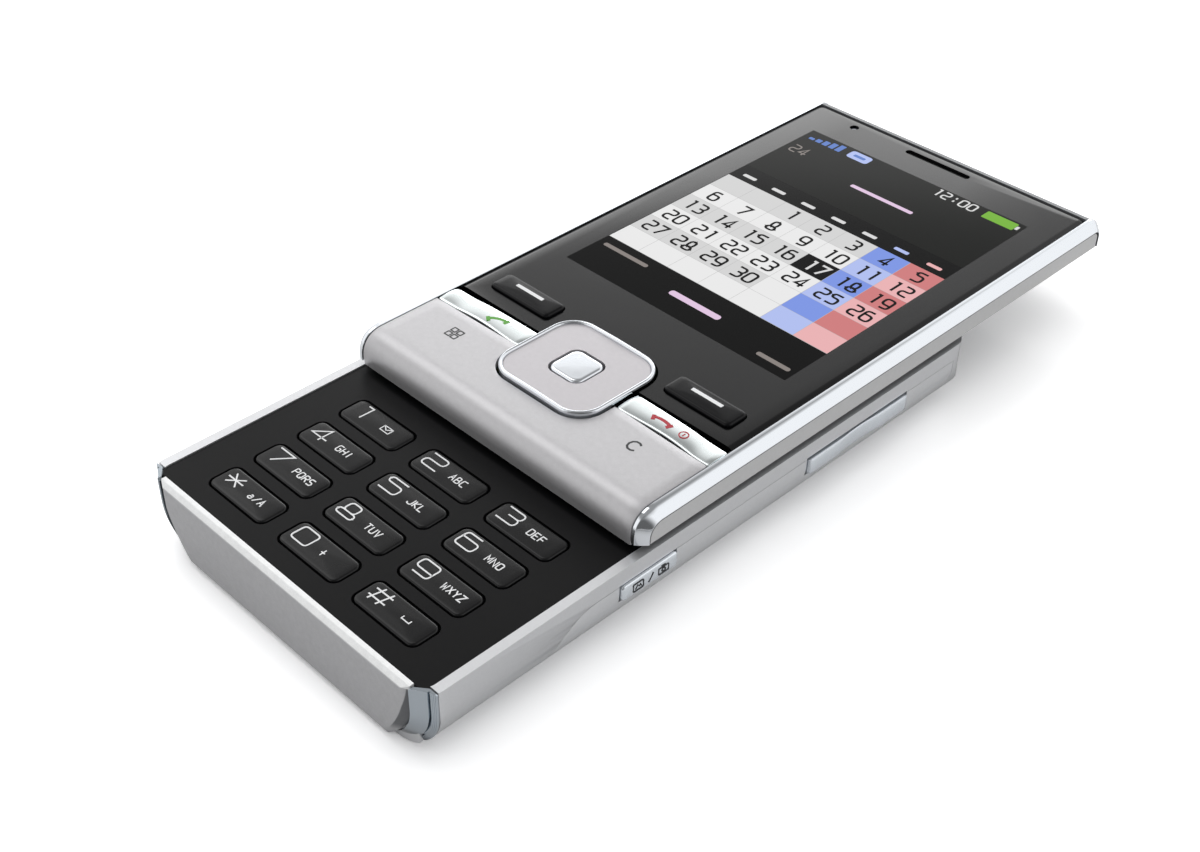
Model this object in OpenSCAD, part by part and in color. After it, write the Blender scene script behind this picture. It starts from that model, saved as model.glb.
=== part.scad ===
// Slider phone, shown open: the upper half has slid back off the keypad half.
// Millimetres. +X is the phone's right side, +Y runs from the keypad to the earpiece, +Z is up.
// Z = 0 is the flat underside that the phone rests on, and X = Y = 0 is the middle of the lower half.

/* [Overall] */
// Width of both halves
body_w = 48; // [47.5:0.25:48.5]
// Length of the lower half
body_l = 87; // [86.5:0.5:88]
// Height of the lower half, from the underside to its rim
base_h = 10; // [10:0.25:10.5]
// Height of the upper half, from its underside to the glass
upper_h = 4.25; // [4.25:0.25:4.75]
// Gap between the halves that the slide leaves
slide_gap = 0.45; // [0.45:0.05:0.5]
// Travel of the slide from open to closed
slide_travel = 29.3; // [28.6:0.1:29.3]

/* [Lower half] */
// Radius of the plan corners
plan_corner = 2.6; // [2:0.2:3]
// Radius of the long lower edges
side_round = 7; // [6.6:0.2:7.2]
// Radius of the front lower edge
front_round = 1.4; // [1:0.2:2]
// Radius of the rear lower edge
rear_round = 5; // [4:0.5:5]
// Thickness of the outer walls
wall = 1.2; // [1.1:0.05:1.25]
// Drop from the rim to the seam over the battery cover
seam_drop = 2.2; // [2.1:0.1:2.4]
// Radius of the seam's front end
seam_round = 6.5; // [5.5:0.5:6.5]
// Thickness of the battery cover
cover_t = 1; // [0.9:0.05:1]

/* [Keypad] */
// Pitch of the number keys across the phone
key_pitch_x = 12.6; // [12.2:0.1:12.8]
// Pitch of the number keys along the phone
key_pitch_y = 5.9; // [5.7:0.05:6]
// Width of a number key
key_w = 9.8; // [9.2:0.1:10]
// Length of a number key
key_l = 3.9; // [3.6:0.1:4]
// Travel of every pressed key
key_travel = 0.25; // [0.2:0.05:0.25]

/* [Upper half] */
// Width of each chrome side rail
rail_w = 1.6; // [1.5:0.1:1.7]
// Depth of each chrome side rail
rail_t = 1.25; // [1.2:0.05:1.3]
// Radius of the front edge of the upper half
nose_round = 3.2; // [3:0.1:3.4]
// Radius of the rear edge of the upper half
tail_round = 2.4; // [2.2:0.1:2.6]
// Thickness of the display window
glass_t = 1.2; // [1:0.1:1.2]
// Width of the picture area
picture_w = 36; // [35:0.5:36]
// Length of the picture area
picture_l = 48.2; // [47:0.2:48.4]

/* [Navigation key] */
// Width of the chrome ring
nav_w = 15.6; // [15.4:0.1:15.8]
// Length of the chrome ring
nav_l = 14.2; // [14:0.1:14.4]
// Height of the ring above the glass
nav_rise = 0.7; // [0.6:0.05:0.75]
// Side of the square select key
select_w = 5; // [4.8:0.1:5.1]

/* [Hidden] */
$fn = 64;
cut = 0.5;              // how far a cutting shape runs past a face
fit = 0.05;             // running clearance, each side
half_w = body_w / 2;
half_l = body_l / 2;
front_y = -half_l;
rear_y = half_l;

// Levels in the lower half
floor_z = cover_t;               // inside of the battery cover's floor
deck_z = base_h - 5;             // underside of the chassis deck
deck_t = 0.6;
seam_z = base_h - seam_drop;
board_z = base_h - 3;            // underside of the main board
board_t = 0.8;
plate_t = 0.9;                   // thickness of the black key plate
plate_z = base_h - 0.15 - plate_t;
ledge_x = half_w - 3.4;          // half width of the space between the ledges
rim_x = half_w - wall;           // inner edge of the silver rim
pocket_x = rim_x - fit;          // half width of what lies inside the rim

// Front of the lower half
chin_t = 1.1;
chin_x = half_w - 2.7;
trim_x = half_w - 2.55;
trim_y = front_y + 1.9;
front_wall_y = front_y + chin_t;
key_zone_y = front_y + 31.2;     // rear edge of the key plate
cover_front_y = front_y + 16.4;
cover_rear_y = rear_y - 3;

// Number keys
key_row_y = front_y + 23.6;      // middle of the first row
key_round = 0.9;
key_gap = 0.25;
key_top_z = base_h + 0.1;
flange = 0.45;                   // how far a key's flange reaches past its cap
flange_t = 0.32;
digits = ["1", "2", "3", "4", "5", "6", "7", "8", "9", "star", "0", "hash"];

// Side keys
camera_key_y = front_y + 30.5;
camera_key_l = 8.4;
volume_y = rear_y - 21.5;
volume_l = 18;
side_key_z = base_h - 3.25;
side_key_h = 2.1;
side_key_out = 0.45;             // how far a side key stands out of the wall
volume_pin_x = half_w - 2.4;

// What is fixed inside the lower half
screw_x = half_w - 5.4;
screw_y = half_l - 5.5;
board_x = half_w - 4.1;
socket_z = base_h - 6.3;         // middle of the charging socket
cards_front_y = front_y + 16.5;
cards_rear_y = front_y + 28.5;
cans_front_y = front_y + 20.5;
cans_gap_y = front_y + 52.5;     // middle of the gap between the shield cans
cans_rear_y = rear_y - 6.5;
motor_x = screw_x - 6.1;
motor_y = front_y + 10.5;

// Upper half
under_z = base_h + slide_gap;
glass_z = under_z + upper_h;
nose_y = front_y + slide_travel;
tail_y = nose_y + body_l - 0.2;
rail_x = half_w - rail_w;        // inner face of the rails
tray_t = 0.5;
tray_z = under_z + tray_t;       // top of the tray's floor
glass_front_y = nose_y + 15.65;
glass_rear_y = tail_y - tail_round + 0.1;
window_z = glass_z - glass_t;
panel_rear_y = nose_y + 11.9;
band_rear_y = nose_y + 15.45;
band_peg_y = nose_y + 13.8;
panel_t = 0.9;
panel_peg_y = nose_y + 8.2;
panel_gap = 0.12;
rock_z = tray_z + 0.95;
nav_y = nose_y + 13.75;
nav_gap = 0.3;
ring_t = 0.55;
nav_round = 3.6;
gimbal_z = under_z + 1.9;
pin_r = 0.4;
nav_skirt = 0.15;                // how far the pad's skirt stays inside the ring
frame_wall_x = rail_x - 0.85;    // inner face of the upper half's frame
soft_x = (nav_w / 2 - nav_skirt + frame_wall_x) / 2;
soft_y = nose_y + 19.55;
soft_skirt = 0.45;               // how far a soft key's lip reaches past its cap
soft_w = 10;
soft_l = 3.4;
panel_board_z = tray_z;
panel_board_t = 0.7;
dome_t = 0.25;
gimbal_in = 3.85;                // posts and lugs of the gimbal, out from its middle
gimbal_out = 4.55;
tilt_peg = 6.1;                  // pegs under the pad, out from its middle
rock_r = 0.5;                    // pivot bar of the front panel
rock_posts = [nose_y + 2.1, nose_y + 5.3];  // middles of the posts that hold that bar
band_x = rail_x - 7.4;           // pegs of the call and end keys and of the front panel
ear_y = tail_y - 4.5;
ear_w = 10.6;
ear_l = 1.1;
ear_body_l = 2.8;

// The display lies in the room between the soft keys and the earpiece
module_edge = 0.8;               // how far the display module reaches past the picture's ends
module_side = 1.1;               // the same past its sides
room_front_y = soft_y + soft_l / 2 + soft_skirt + 0.3;
room_rear_y = ear_y - ear_body_l / 2 - 0.3;
room_share = 8 / 11;             // share of the spare room that lies in front of the module
module_l = picture_l + 2 * module_edge;
picture_y = room_front_y + room_share * (room_rear_y - room_front_y - module_l) + module_l / 2;

// Slide
rail_plate_z = plate_z;          // underside of the fixed slide plate
rail_plate_t = 0.3;
track_z = rail_plate_z + rail_plate_t;
track_x = half_w - 5.4;          // inside of the tracks
track_t = 0.6;
lip_z = base_h;
lip_t = 0.25;
lip_x = track_x - 1.2;
runner_rear_y = rear_y - 1.5;
runner_front_y = key_zone_y + slide_travel + 3;
runner_screws_y = [(runner_front_y + runner_rear_y) / 2 - 5, (runner_front_y + runner_rear_y) / 2 + 5];
runner_screw_x = half_w - 11;
runner_z = track_z + 0.08;
runner_t = 0.6;
stop_t = 0.4;
stop_gap = 0.05;
spring_x = track_x - 5.4;
spring_r = 3.6;
spring_wire = 0.3;               // half the width of the wire
eye_r = 0.55;                    // bore of each eye, round an anchor of radius 0.5
spring_z = base_h - 0.35;
spring_open = 50;                // degrees that each leg opens
spring_leg = 12;
spring_end = [
    spring_x + spring_r * cos(90 - spring_open) - spring_leg * cos(spring_open),
    spring_r * sin(90 - spring_open) + spring_leg * sin(spring_open)
];
anchor_y = runner_front_y - 1.4; // anchor of each spring on the runner
spring_y = anchor_y - spring_end[1];

// Camera and sounder behind the battery
camera_x = -12;
camera_y = rear_y - 7.9;
camera_body = 7;
camera_r = 2.6;
light_x = -5;
light_r = 1.3;
lens_z = 0.15;
sounder_x = screw_x - 9.1;
sounder_y = rear_y - 7.5;
sounder_w = 13;
sounder_l = 7;

// ---------------------------------------------------------------- shared shapes

// A rectangle with true round corners, centred.
module rounded_rect(w, l, r) {
    square([w - 2 * r, l], center = true);
    square([w, l - 2 * r], center = true);
    for (sx = [-1, 1])
        for (sy = [-1, 1])
            translate([sx * (w / 2 - r), sy * (l / 2 - r)])
                circle(r);
}

// A plate with true round corners, centred in X and Y, from Z = 0 up.
module rounded_plate(w, l, r, h) {
    linear_extrude(height = h)
        rounded_rect(w, l, r);
}

// A box given by its two corners.
module span(low, high) {
    translate(low)
        cube(high - low);
}

// Turns a flat shape drawn in (Y, Z) into a bar along X.
module along_x(low, high) {
    translate([low, 0, 0])
        rotate([90, 0, 90])
            linear_extrude(height = high - low)
                children();
}

// Turns a flat shape drawn in (X, Z) into a bar along Y.
module along_y(low, high) {
    translate([0, high, 0])
        rotate([90, 0, 0])
            linear_extrude(height = high - low)
                children();
}

// The children as drawn, or mirrored across X = 0 when side is negative.
module flip(side) {
    mirror([side < 0 ? 1 : 0, 0, 0])
        children();
}

// The same across Y = 0.
module flip_y(side) {
    mirror([0, side < 0 ? 1 : 0, 0])
        children();
}

// A round bar along X, Y or Z.
module bar_x(r, low, high) {
    translate([low, 0, 0])
        rotate([0, 90, 0])
            cylinder(r = r, h = high - low);
}
module bar_y(r, low, high) {
    translate([0, high, 0])
        rotate([90, 0, 0])
            cylinder(r = r, h = high - low);
}
module bar_z(r, low, high) {
    translate([0, 0, low])
        cylinder(r = r, h = high - low);
}

// ---------------------------------------------------------------- lower half

// Cross-section of the lower half in (X, Z), drawn in by inset.
module base_section(inset) {
    r = side_round - inset;
    translate([-half_w + inset, side_round])
        square([body_w - 2 * inset, base_h - side_round]);
    translate([-half_w + side_round, inset])
        square([body_w - 2 * side_round, base_h - inset]);
    for (side = [-1, 1])
        translate([side * (half_w - side_round), side_round])
            circle(r);
}

// Lengthwise section of the lower half in (Y, Z), drawn in by inset.
module base_length(inset) {
    front_r = max(front_round - inset, 0.3);
    rear_r = rear_round - inset;
    low_y = front_y + inset;
    high_y = rear_y - inset;
    translate([low_y, inset + front_r])
        square([10, base_h - inset - front_r]);
    translate([high_y - 10, inset + rear_r])
        square([10, base_h - inset - rear_r]);
    translate([low_y + front_r, inset])
        square([high_y - low_y - front_r - rear_r, base_h - inset]);
    translate([low_y + front_r, inset + front_r])
        circle(front_r);
    translate([high_y - rear_r, inset + rear_r])
        circle(rear_r);
}

// The solid form of the lower half, drawn in by inset on its sides, ends and underside.
module base_form(inset = 0) {
    intersection() {
        rounded_plate(body_w - 2 * inset, body_l - 2 * inset, plan_corner - inset, base_h);
        along_y(-body_l, body_l)
            base_section(inset);
        along_x(-body_w, body_w)
            base_length(inset);
    }
}

// The stretch that the battery cover takes, grown by grow on its seam.
module cover_zone(grow = 0) {
    seam_centre_y = cover_front_y + seam_round;
    top_z = seam_z + grow;
    along_x(-half_w - cut, half_w + cut) {
        translate([cover_front_y - grow, -cut])
            square([cover_rear_y - cover_front_y + 2 * grow, seam_z - seam_round + cut]);
        translate([seam_centre_y, -cut])
            square([cover_rear_y + grow - seam_centre_y, top_z + cut]);
        translate([seam_centre_y, seam_z - seam_round])
            circle(seam_round + grow);
    }
}

// The stretch of wall that a side key passes through, open at its top where the seam runs.
module side_key_window(mid_y, len, grow) {
    low = side_key_z - side_key_h / 2 - grow;
    span([volume_pin_x - 1.5, mid_y - len / 2 - grow, low],
         [half_w + 2, mid_y + len / 2 + grow, seam_z + grow]);
}

module base_frame() {
    color("#b9bbbd")
        difference() {
            union() {
                difference() {
                    base_form();
                    cover_zone(fit);
                }
                intersection() {
                    base_form(cover_t + fit);
                    span([-half_w, front_y, deck_z], [half_w, rear_y, base_h]);
                }
            }
            // space for the board, over the deck
            span([-ledge_x, front_y + 2.5, deck_z + deck_t], [ledge_x, rear_y - 2.2, base_h + cut]);
            // pocket for the key plate and the slide plate
            translate([0, 0, plate_z])
                rounded_plate(2 * rim_x, 2 * (half_l - chin_t), 1.4, base_h);
            // hollow under the deck
            intersection() {
                base_form(wall);
                span([-half_w, front_y + 2.3, -cut], [half_w, rear_y, deck_z]);
            }
            // front face for the chin cap, and corners for the chrome trims
            span([-trim_x, front_y - cut, -cut], [trim_x, front_wall_y, base_h + cut]);
            corner_cuts();
            // windows for the side keys
            side_key_window(camera_key_y, camera_key_l, 0.1);
            side_key_window(volume_y, volume_l, 0.25);
            span([volume_pin_x - 1.7, camera_key_y - camera_key_l / 2 - 0.8, deck_z + deck_t],
                 [volume_pin_x - 0.55, camera_key_y + camera_key_l / 2 + 0.8, plate_z]);
            span([volume_pin_x - 1.7, volume_y - volume_l / 2 - 0.8, deck_z + deck_t],
                 [volume_pin_x - 0.55, volume_y + volume_l / 2 + 0.8, plate_z]);
            // pivot bore of the volume rocker
            translate([volume_pin_x, volume_y, 0])
                bar_z(pin_r + fit, deck_z + 0.2, plate_z);
            // charging socket
            translate([0, rear_y - 2.9, socket_z])
                rotate([-90, 0, 0])
                    rounded_plate(11.2, 3.2, 0.7, 4);
            // screw bores
            for (x = [-screw_x, screw_x])
                for (y = [-screw_y, screw_y])
                    translate([x, y, 0])
                        bar_z(0.75, deck_z - cut, deck_z + deck_t + cut);
        }
}

module key_plate() {
    color("#26272a")
        difference() {
            translate([0, 0, plate_z])
                intersection() {
                    rounded_plate(2 * pocket_x, 2 * (half_l - chin_t - fit), 1.35, plate_t);
                    span([-half_w, front_y, -cut], [half_w, key_zone_y, plate_t + cut]);
                }
            for (i = [0 : len(digits) - 1])
                translate([key_x(i), key_y(i), plate_z - cut])
                    rounded_plate(key_w + 2 * key_gap, key_l + 2 * key_gap, key_round + key_gap, plate_t + 2 * cut);
            corner_cuts();
        }
}

// The trims and the chin reach over the front corners of what lies inside the rim.
module corner_cuts() {
    for (side = [-1, 1])
        flip(side)
            span([trim_x - fit, front_y - cut, -cut], [half_w + cut, trim_y + fit, base_h + cut]);
}

module chin_cap() {
    bevel = 0.5;
    color("#8f9194")
        difference() {
            intersection() {
                base_form();
                span([-chin_x, front_y - cut, -cut], [chin_x, front_wall_y, base_h + cut]);
            }
            translate([0, front_y, base_h])
                rotate([45, 0, 0])
                    cube([body_w, bevel * sqrt(2), bevel * sqrt(2)], center = true);
            for (side = [-1, 1])
                translate([side * chin_x, front_y, base_h / 2])
                    rotate([0, 0, 45])
                        cube([bevel, bevel, base_h + 2], center = true);
        }
}

module corner_trim(side) {
    color("#dfe3e8")
        intersection() {
            base_form();
            flip(side)
                span([trim_x, front_y - cut, -cut], [half_w + cut, trim_y, base_h + cut]);
        }
}
module corner_trim_left() { corner_trim(-1); }
module corner_trim_right() { corner_trim(1); }

module battery_cover() {
    color("#c3c5c7")
        difference() {
            intersection() {
                difference() {
                    base_form();
                    base_form(cover_t);
                }
                cover_zone();
            }
            side_key_window(camera_key_y, camera_key_l, 0.12);
            side_key_window(volume_y, volume_l, 0.25);
            translate([camera_x, camera_y, 0])
                bar_z(camera_r + 0.15, -cut, floor_z + cut);
            translate([light_x, camera_y, 0])
                bar_z(light_r + 0.15, -cut, floor_z + cut);
            for (i = [-2 : 2])
                translate([sounder_x + 2 * i, sounder_y, -cut])
                    rounded_plate(0.9, 4, 0.4, floor_z + 2 * cut);
        }
}

module battery() {
    low_y = cards_rear_y + 1.5;
    high_y = camera_y - camera_body / 2 - 1.6;
    low_z = floor_z + 0.15;
    color("#4a4d52")
        translate([0, (low_y + high_y) / 2, low_z])
            rounded_plate(34, high_y - low_y, 1.2, deck_z - low_z);
}

// ---------------------------------------------------------------- boards and inner pieces

module main_board() {
    color("#2f5d3a")
        difference() {
            translate([0, 0, board_z])
                span([-board_x, front_y + 2.9, 0], [board_x, rear_y - 2.6, board_t]);
            for (x = [-screw_x, screw_x])
                for (y = [-screw_y, screw_y])
                    translate([x, y, 0])
                        bar_z(0.75, board_z - cut, board_z + board_t + cut);
        }
}

module shield_cans() {
    low_z = deck_z + deck_t;
    color("#c8cace") {
        translate([-3, (cans_front_y + cans_gap_y - 2) / 2, low_z])
            rounded_plate(26, cans_gap_y - 2 - cans_front_y, 0.6, board_z - low_z);
        translate([0, (cans_gap_y + 2 + cans_rear_y) / 2, low_z])
            rounded_plate(30, cans_rear_y - cans_gap_y - 2, 0.6, board_z - low_z);
    }
}

module keypad_domes() {
    sheet_t = 0.15;
    sheet_z = board_z + board_t;
    color("#d8d6cc") {
        translate([0, key_row_y - 1.5 * key_pitch_y, sheet_z])
            rounded_plate(2 * (ledge_x - 2.1), 24, 1, sheet_t);
        for (i = [0 : len(digits) - 1])
            translate([key_x(i), key_y(i), sheet_z])
                cylinder(r1 = 1.9, r2 = 1.2, h = sheet_t + dome_t);
    }
}

module keypad_mat() {
    mat_t = 0.35;
    mat_z = board_z + board_t + 0.15;
    color("#6d6f73")
        difference() {
            translate([0, key_row_y - 1.5 * key_pitch_y, mat_z])
                rounded_plate(2 * (ledge_x - 1.1), 24.2, 1, mat_t);
            for (i = [0 : len(digits) - 1])
                translate([key_x(i), key_y(i), mat_z - cut])
                    rounded_plate(4.6, 4.3, 0.8, mat_t + 2 * cut);
        }
}

function key_x(i) = (i % 3 - 1) * key_pitch_x;
function key_y(i) = key_row_y - floor(i / 3) * key_pitch_y;

// A number key: cap, flange under the key plate, and the peg that presses its dome.
module number_key(i) {
    peg_z = board_z + board_t + 0.15 + dome_t + key_travel + 0.03;
    color("#202124")
        translate([key_x(i), key_y(i), 0]) {
            translate([0, 0, plate_z - flange_t])
                rounded_plate(key_w, key_l, key_round, key_top_z - plate_z + flange_t);
            translate([0, 0, plate_z - flange_t])
                rounded_plate(key_w + 2 * flange, key_l + 2 * flange, key_round + flange, flange_t);
            bar_z(1, peg_z, plate_z);
        }
}

module camera_key() {
    inner_x = volume_pin_x - 0.6;
    body = side_key_h / 2;
    color("#cfd8e2") {
        span([inner_x, camera_key_y - camera_key_l / 2, side_key_z - body],
             [half_w + side_key_out, camera_key_y + camera_key_l / 2, side_key_z + body]);
        span([inner_x - 0.4, camera_key_y - camera_key_l / 2 - 0.6, side_key_z - body],
             [inner_x, camera_key_y + camera_key_l / 2 + 0.6, side_key_z + body]);
    }
}

module volume_rocker() {
    inner_x = volume_pin_x - 0.6;
    body = side_key_h / 2;
    waist = 0.25;
    color("#c9ccd0")
        difference() {
            union() {
                span([inner_x, volume_y - volume_l / 2, side_key_z - body],
                     [half_w + side_key_out, volume_y + volume_l / 2, side_key_z + body]);
                translate([volume_pin_x, volume_y, 0])
                    bar_z(pin_r, deck_z + 0.3, plate_z - 0.1);
            }
            // scooped waist in the outer face
            translate([half_w + side_key_out + 30 - waist, volume_y, 0])
                bar_z(30, 0, base_h);
        }
}

module side_switches() {
    strip_x = ledge_x - 0.65;
    strip_t = 0.15;
    button_t = 0.12;
    color("#b98a3c") {
        span([strip_x, camera_key_y - 6, deck_z + deck_t + 0.05],
             [strip_x + strip_t, volume_y + 11, board_z + board_t - 0.1]);
        for (y = [camera_key_y, volume_y - 7, volume_y + 7])
            span([strip_x + strip_t, y - 1.2, side_key_z - 0.6], [strip_x + strip_t + button_t, y + 1.2, side_key_z + 0.6]);
    }
}

module rear_camera() {
    color("#1b1c1f") {
        translate([camera_x, camera_y, 1.4])
            rounded_plate(camera_body, camera_body, 0.6, deck_z - 1.4);
        translate([camera_x, camera_y, 0])
            bar_z(camera_r, lens_z, 1.4);
    }
}

module photo_light() {
    color("#f4f2df") {
        translate([light_x, camera_y, 1.4])
            rounded_plate(3.6, 5, 0.3, deck_z - 1.4);
        translate([light_x, camera_y, 0])
            bar_z(light_r, lens_z, 1.4);
    }
}

module sounder() {
    color("#3b3d41")
        translate([sounder_x, sounder_y, floor_z + 0.15])
            rounded_plate(sounder_w, sounder_l, 1, deck_z - floor_z - 0.15);
}

module antenna() {
    color("#55585c")
        span([2.1 - screw_x, front_y + 2.6, wall + 0.2], [screw_x - 2.1, cards_front_y - 4, deck_z]);
}

module sim_holder() {
    color("#bfc2c6")
        span([-15.5, cards_front_y, deck_z - 1.3], [-0.5, cards_rear_y, deck_z]);
}

module card_slot() {
    color("#a9acb1")
        span([2, cards_front_y, deck_z - 1.5], [14, cards_rear_y, deck_z]);
}

module system_connector() {
    color("#2a2b2e")
        difference() {
            translate([0, rear_y - 2.75, socket_z])
                rotate([-90, 0, 0])
                    rounded_plate(11, 3, 0.6, 2.2);
            translate([0, rear_y - 1.9, socket_z])
                rotate([-90, 0, 0])
                    rounded_plate(9.6, 1.8, 0.4, 3);
        }
}

module vibration_motor() {
    color("#c9a24a")
        translate([motor_x, motor_y, 0])
            bar_z(4, deck_z + deck_t, board_z);
}

module chassis_screws() {
    color("#6c6f73")
        for (x = [-screw_x, screw_x])
            for (y = [-screw_y, screw_y])
                translate([x, y, 0])
                    screw(1.2, 0.5, 0.7, deck_z, board_z + board_t);
}

// A screw driven upwards: its head's top at seat_z and its end at tip_z.
module screw(head_r, head_t, shank_r, seat_z, tip_z) {
    bar_z(head_r, seat_z - head_t, seat_z);
    bar_z(shank_r, seat_z - 0.1, tip_z);
}

// ---------------------------------------------------------------- slide

module slide_rail_plate() {
    rear = rear_y - wall - fit;
    color("#a4a7ab") {
        difference() {
            translate([0, 0, rail_plate_z])
                intersection() {
                    rounded_plate(2 * pocket_x, 2 * rear, 1.35, rail_plate_t);
                    span([-half_w, key_zone_y + 0.1, -cut], [half_w, rear_y, 2]);
                }
            for (x = [-rim_x + 1.1, rim_x - 1.1])
                for (y = [key_zone_y + 3.3, 15, screw_y])
                    translate([x, y, 0])
                        bar_z(0.5, rail_plate_z - cut, rail_plate_z + 1);
        }
        for (side = [-1, 1])
            flip(side) {
                // track wall and the lip that holds the runner down
                span([track_x, key_zone_y + 0.4, track_z - 0.1], [track_x + track_t, rear - 0.4, lip_z + lip_t]);
                span([lip_x, key_zone_y + 0.4, lip_z], [track_x + track_t, rear - 0.4, lip_z + lip_t]);
                // stop at the closed end
                span([lip_x, runner_front_y - slide_travel - stop_gap - stop_t, track_z - 0.1],
                     [track_x + 0.1, runner_front_y - slide_travel - stop_gap, lip_z + 0.1]);
                // stop at the open end
                span([lip_x - 3, runner_rear_y + stop_gap, track_z - 0.1],
                     [track_x + 0.1, rear - 0.05, lip_z + 0.1]);
                // anchor of the spring
                translate([spring_end[0], spring_y - spring_end[1], 0])
                    bar_z(0.5, track_z - 0.1, spring_z + 0.35);
            }
    }
}

module slide_runner() {
    neck_x = lip_x - 0.15;
    color("#8d9094")
        difference() {
            union() {
                span([-track_x + 0.06, runner_front_y, runner_z], [track_x - 0.06, runner_rear_y, runner_z + runner_t]);
                span([-neck_x, runner_front_y, runner_z + 0.1], [neck_x, runner_rear_y, under_z]);
                for (side = [-1, 1]) {
                    span([side * spring_end[0] - 1.1, anchor_y - 1.1, spring_z + 0.4],
                         [side * spring_end[0] + 1.1, runner_front_y + 0.1, under_z]);
                    translate([side * spring_end[0], anchor_y, 0])
                        bar_z(0.5, spring_z - 0.3, spring_z + 0.5);
                }
            }
            for (x = [-runner_screw_x, runner_screw_x])
                for (y = runner_screws_y)
                    translate([x, y, 0]) {
                        bar_z(1.3, runner_z - cut, runner_z + 0.55);
                        bar_z(0.63, runner_z, under_z + cut);
                    }
            // grooves that pass over the fixed anchors of the springs
            for (side = [-1, 1])
                translate([side * spring_end[0], 0, 0])
                    span([-1.3, runner_front_y - 0.1, runner_z - cut], [1.3, runner_front_y + 6, spring_z + 0.5]);
        }
}

module runner_screws() {
    color("#75787c")
        for (x = [-runner_screw_x, runner_screw_x])
            for (y = runner_screws_y)
                translate([x, y, 0]) {
                    bar_z(1.2, runner_z + 0.07, runner_z + 0.55);
                    bar_z(0.58, runner_z + 0.5, tray_z);
                }
}

// One hairpin of flat wire, drawn flat: an open round bend, two straight legs and an eye at each end.
module hairpin() {
    bend = 90 - spring_open;
    outer = spring_r + spring_wire;
    difference() {
        intersection() {
            translate([spring_x, 0])
                circle(outer);
            translate([spring_x, 0])
                polygon([[0, 0], [2 * outer, -2 * outer * tan(bend)], [2 * outer, 2 * outer * tan(bend)]]);
        }
        translate([spring_x, 0])
            circle(spring_r - spring_wire);
    }
    for (side = [-1, 1])
        flip_y(side) {
            translate([spring_x + spring_r * cos(bend), spring_r * sin(bend)])
                rotate(180 - spring_open)
                    translate([0, -spring_wire])
                        square([spring_leg - eye_r - 0.1, 2 * spring_wire]);
            translate(spring_end)
                difference() {
                    circle(eye_r + 2 * spring_wire);
                    circle(eye_r);
                }
        }
}

module slide_springs() {
    color("#d0d2d4")
        for (side = [-1, 1])
            flip(side)
                translate([0, spring_y, spring_z - spring_wire])
                    linear_extrude(height = 2 * spring_wire)
                        hairpin();
}

// A flat ribbon that rolls between the halves, drawn as a U seen from the side.
module flex_cable() {
    ribbon_t = 0.12;
    bend_r = (under_z - track_z) / 2;
    bend_z = track_z + bend_r;
    bend_y = runner_front_y - 18;
    color("#b5741f")
        along_x(-4, 4) {
            difference() {
                translate([bend_y, bend_z])
                    circle(bend_r);
                translate([bend_y, bend_z])
                    circle(bend_r - ribbon_t);
                translate([bend_y, track_z - cut])
                    square([5, 3]);
            }
            translate([bend_y, track_z])
                square([13, ribbon_t]);
            translate([bend_y, under_z - ribbon_t])
                square([17.5, ribbon_t]);
        }
}

// ---------------------------------------------------------------- upper half

// Lengthwise section of the upper half in (Y, Z), drawn in by inset.
module upper_length(inset) {
    nose_r = nose_round - inset;
    tail_r = tail_round - inset;
    low_y = nose_y + inset;
    high_y = tail_y - inset;
    top_z = glass_z - inset;
    translate([low_y, under_z])
        square([nose_r + 1, top_z - nose_r - under_z]);
    translate([high_y - tail_r - 1, under_z])
        square([tail_r + 1, top_z - tail_r - under_z]);
    translate([low_y + nose_r, under_z])
        square([high_y - low_y - nose_r - tail_r, top_z - under_z]);
    translate([low_y + nose_r, top_z - nose_r])
        circle(nose_r);
    translate([high_y - tail_r, top_z - tail_r])
        circle(tail_r);
}

// Plan of the upper half, with true round corners.
module upper_plan(z, h) {
    translate([0, (nose_y + tail_y) / 2, z])
        rounded_plate(body_w, tail_y - nose_y, 1.2, h);
}

module upper_frame() {
    post_y = 0.8;
    color("#9da0a3")
        difference() {
            union() {
                // tray floor, which reaches out under the side plates
                intersection() {
                    span([-half_w + 0.5, nose_y + 1.5, under_z], [half_w - 0.5, tail_y - 0.6, tray_z]);
                    upper_plan(under_z - 0.1, upper_h);
                }
                difference() {
                    intersection() {
                        along_x(-rail_x, rail_x)
                            upper_length(0);
                        upper_plan(under_z - 0.1, upper_h + 1);
                        union() {
                            span([-rail_x, glass_front_y - 0.1, under_z], [rail_x, tail_y, window_z]);
                            span([-rail_x, glass_rear_y + fit, under_z], [rail_x, tail_y, glass_z]);
                        }
                    }
                    span([-frame_wall_x, glass_front_y - 1, tray_z], [frame_wall_x, glass_rear_y - 0.7, glass_z]);
                }
                // posts that carry the navigation key's gimbal
                for (side = [-1, 1])
                    flip(side)
                        span([gimbal_in, nav_y - post_y, tray_z - 0.1], [gimbal_out, nav_y + post_y, gimbal_z + 0.55]);
                // posts that carry the front panel's pivot
                for (y = rock_posts)
                    span([-1, y - 0.4, tray_z - 0.1], [1, y + 0.4, rock_z + 0.85]);
            }
            translate([0, nav_y, gimbal_z])
                bar_x(pin_r + fit, -gimbal_out - cut, gimbal_out + cut);
            translate([0, 0, rock_z])
                bar_y(rock_r + fit, rock_posts[0] - 1, rock_posts[1] + 1);
            for (x = [-runner_screw_x, runner_screw_x])
                for (y = runner_screws_y)
                    translate([x, y, 0])
                        bar_z(0.63, under_z - cut, tray_z + cut);
        }
}

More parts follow.
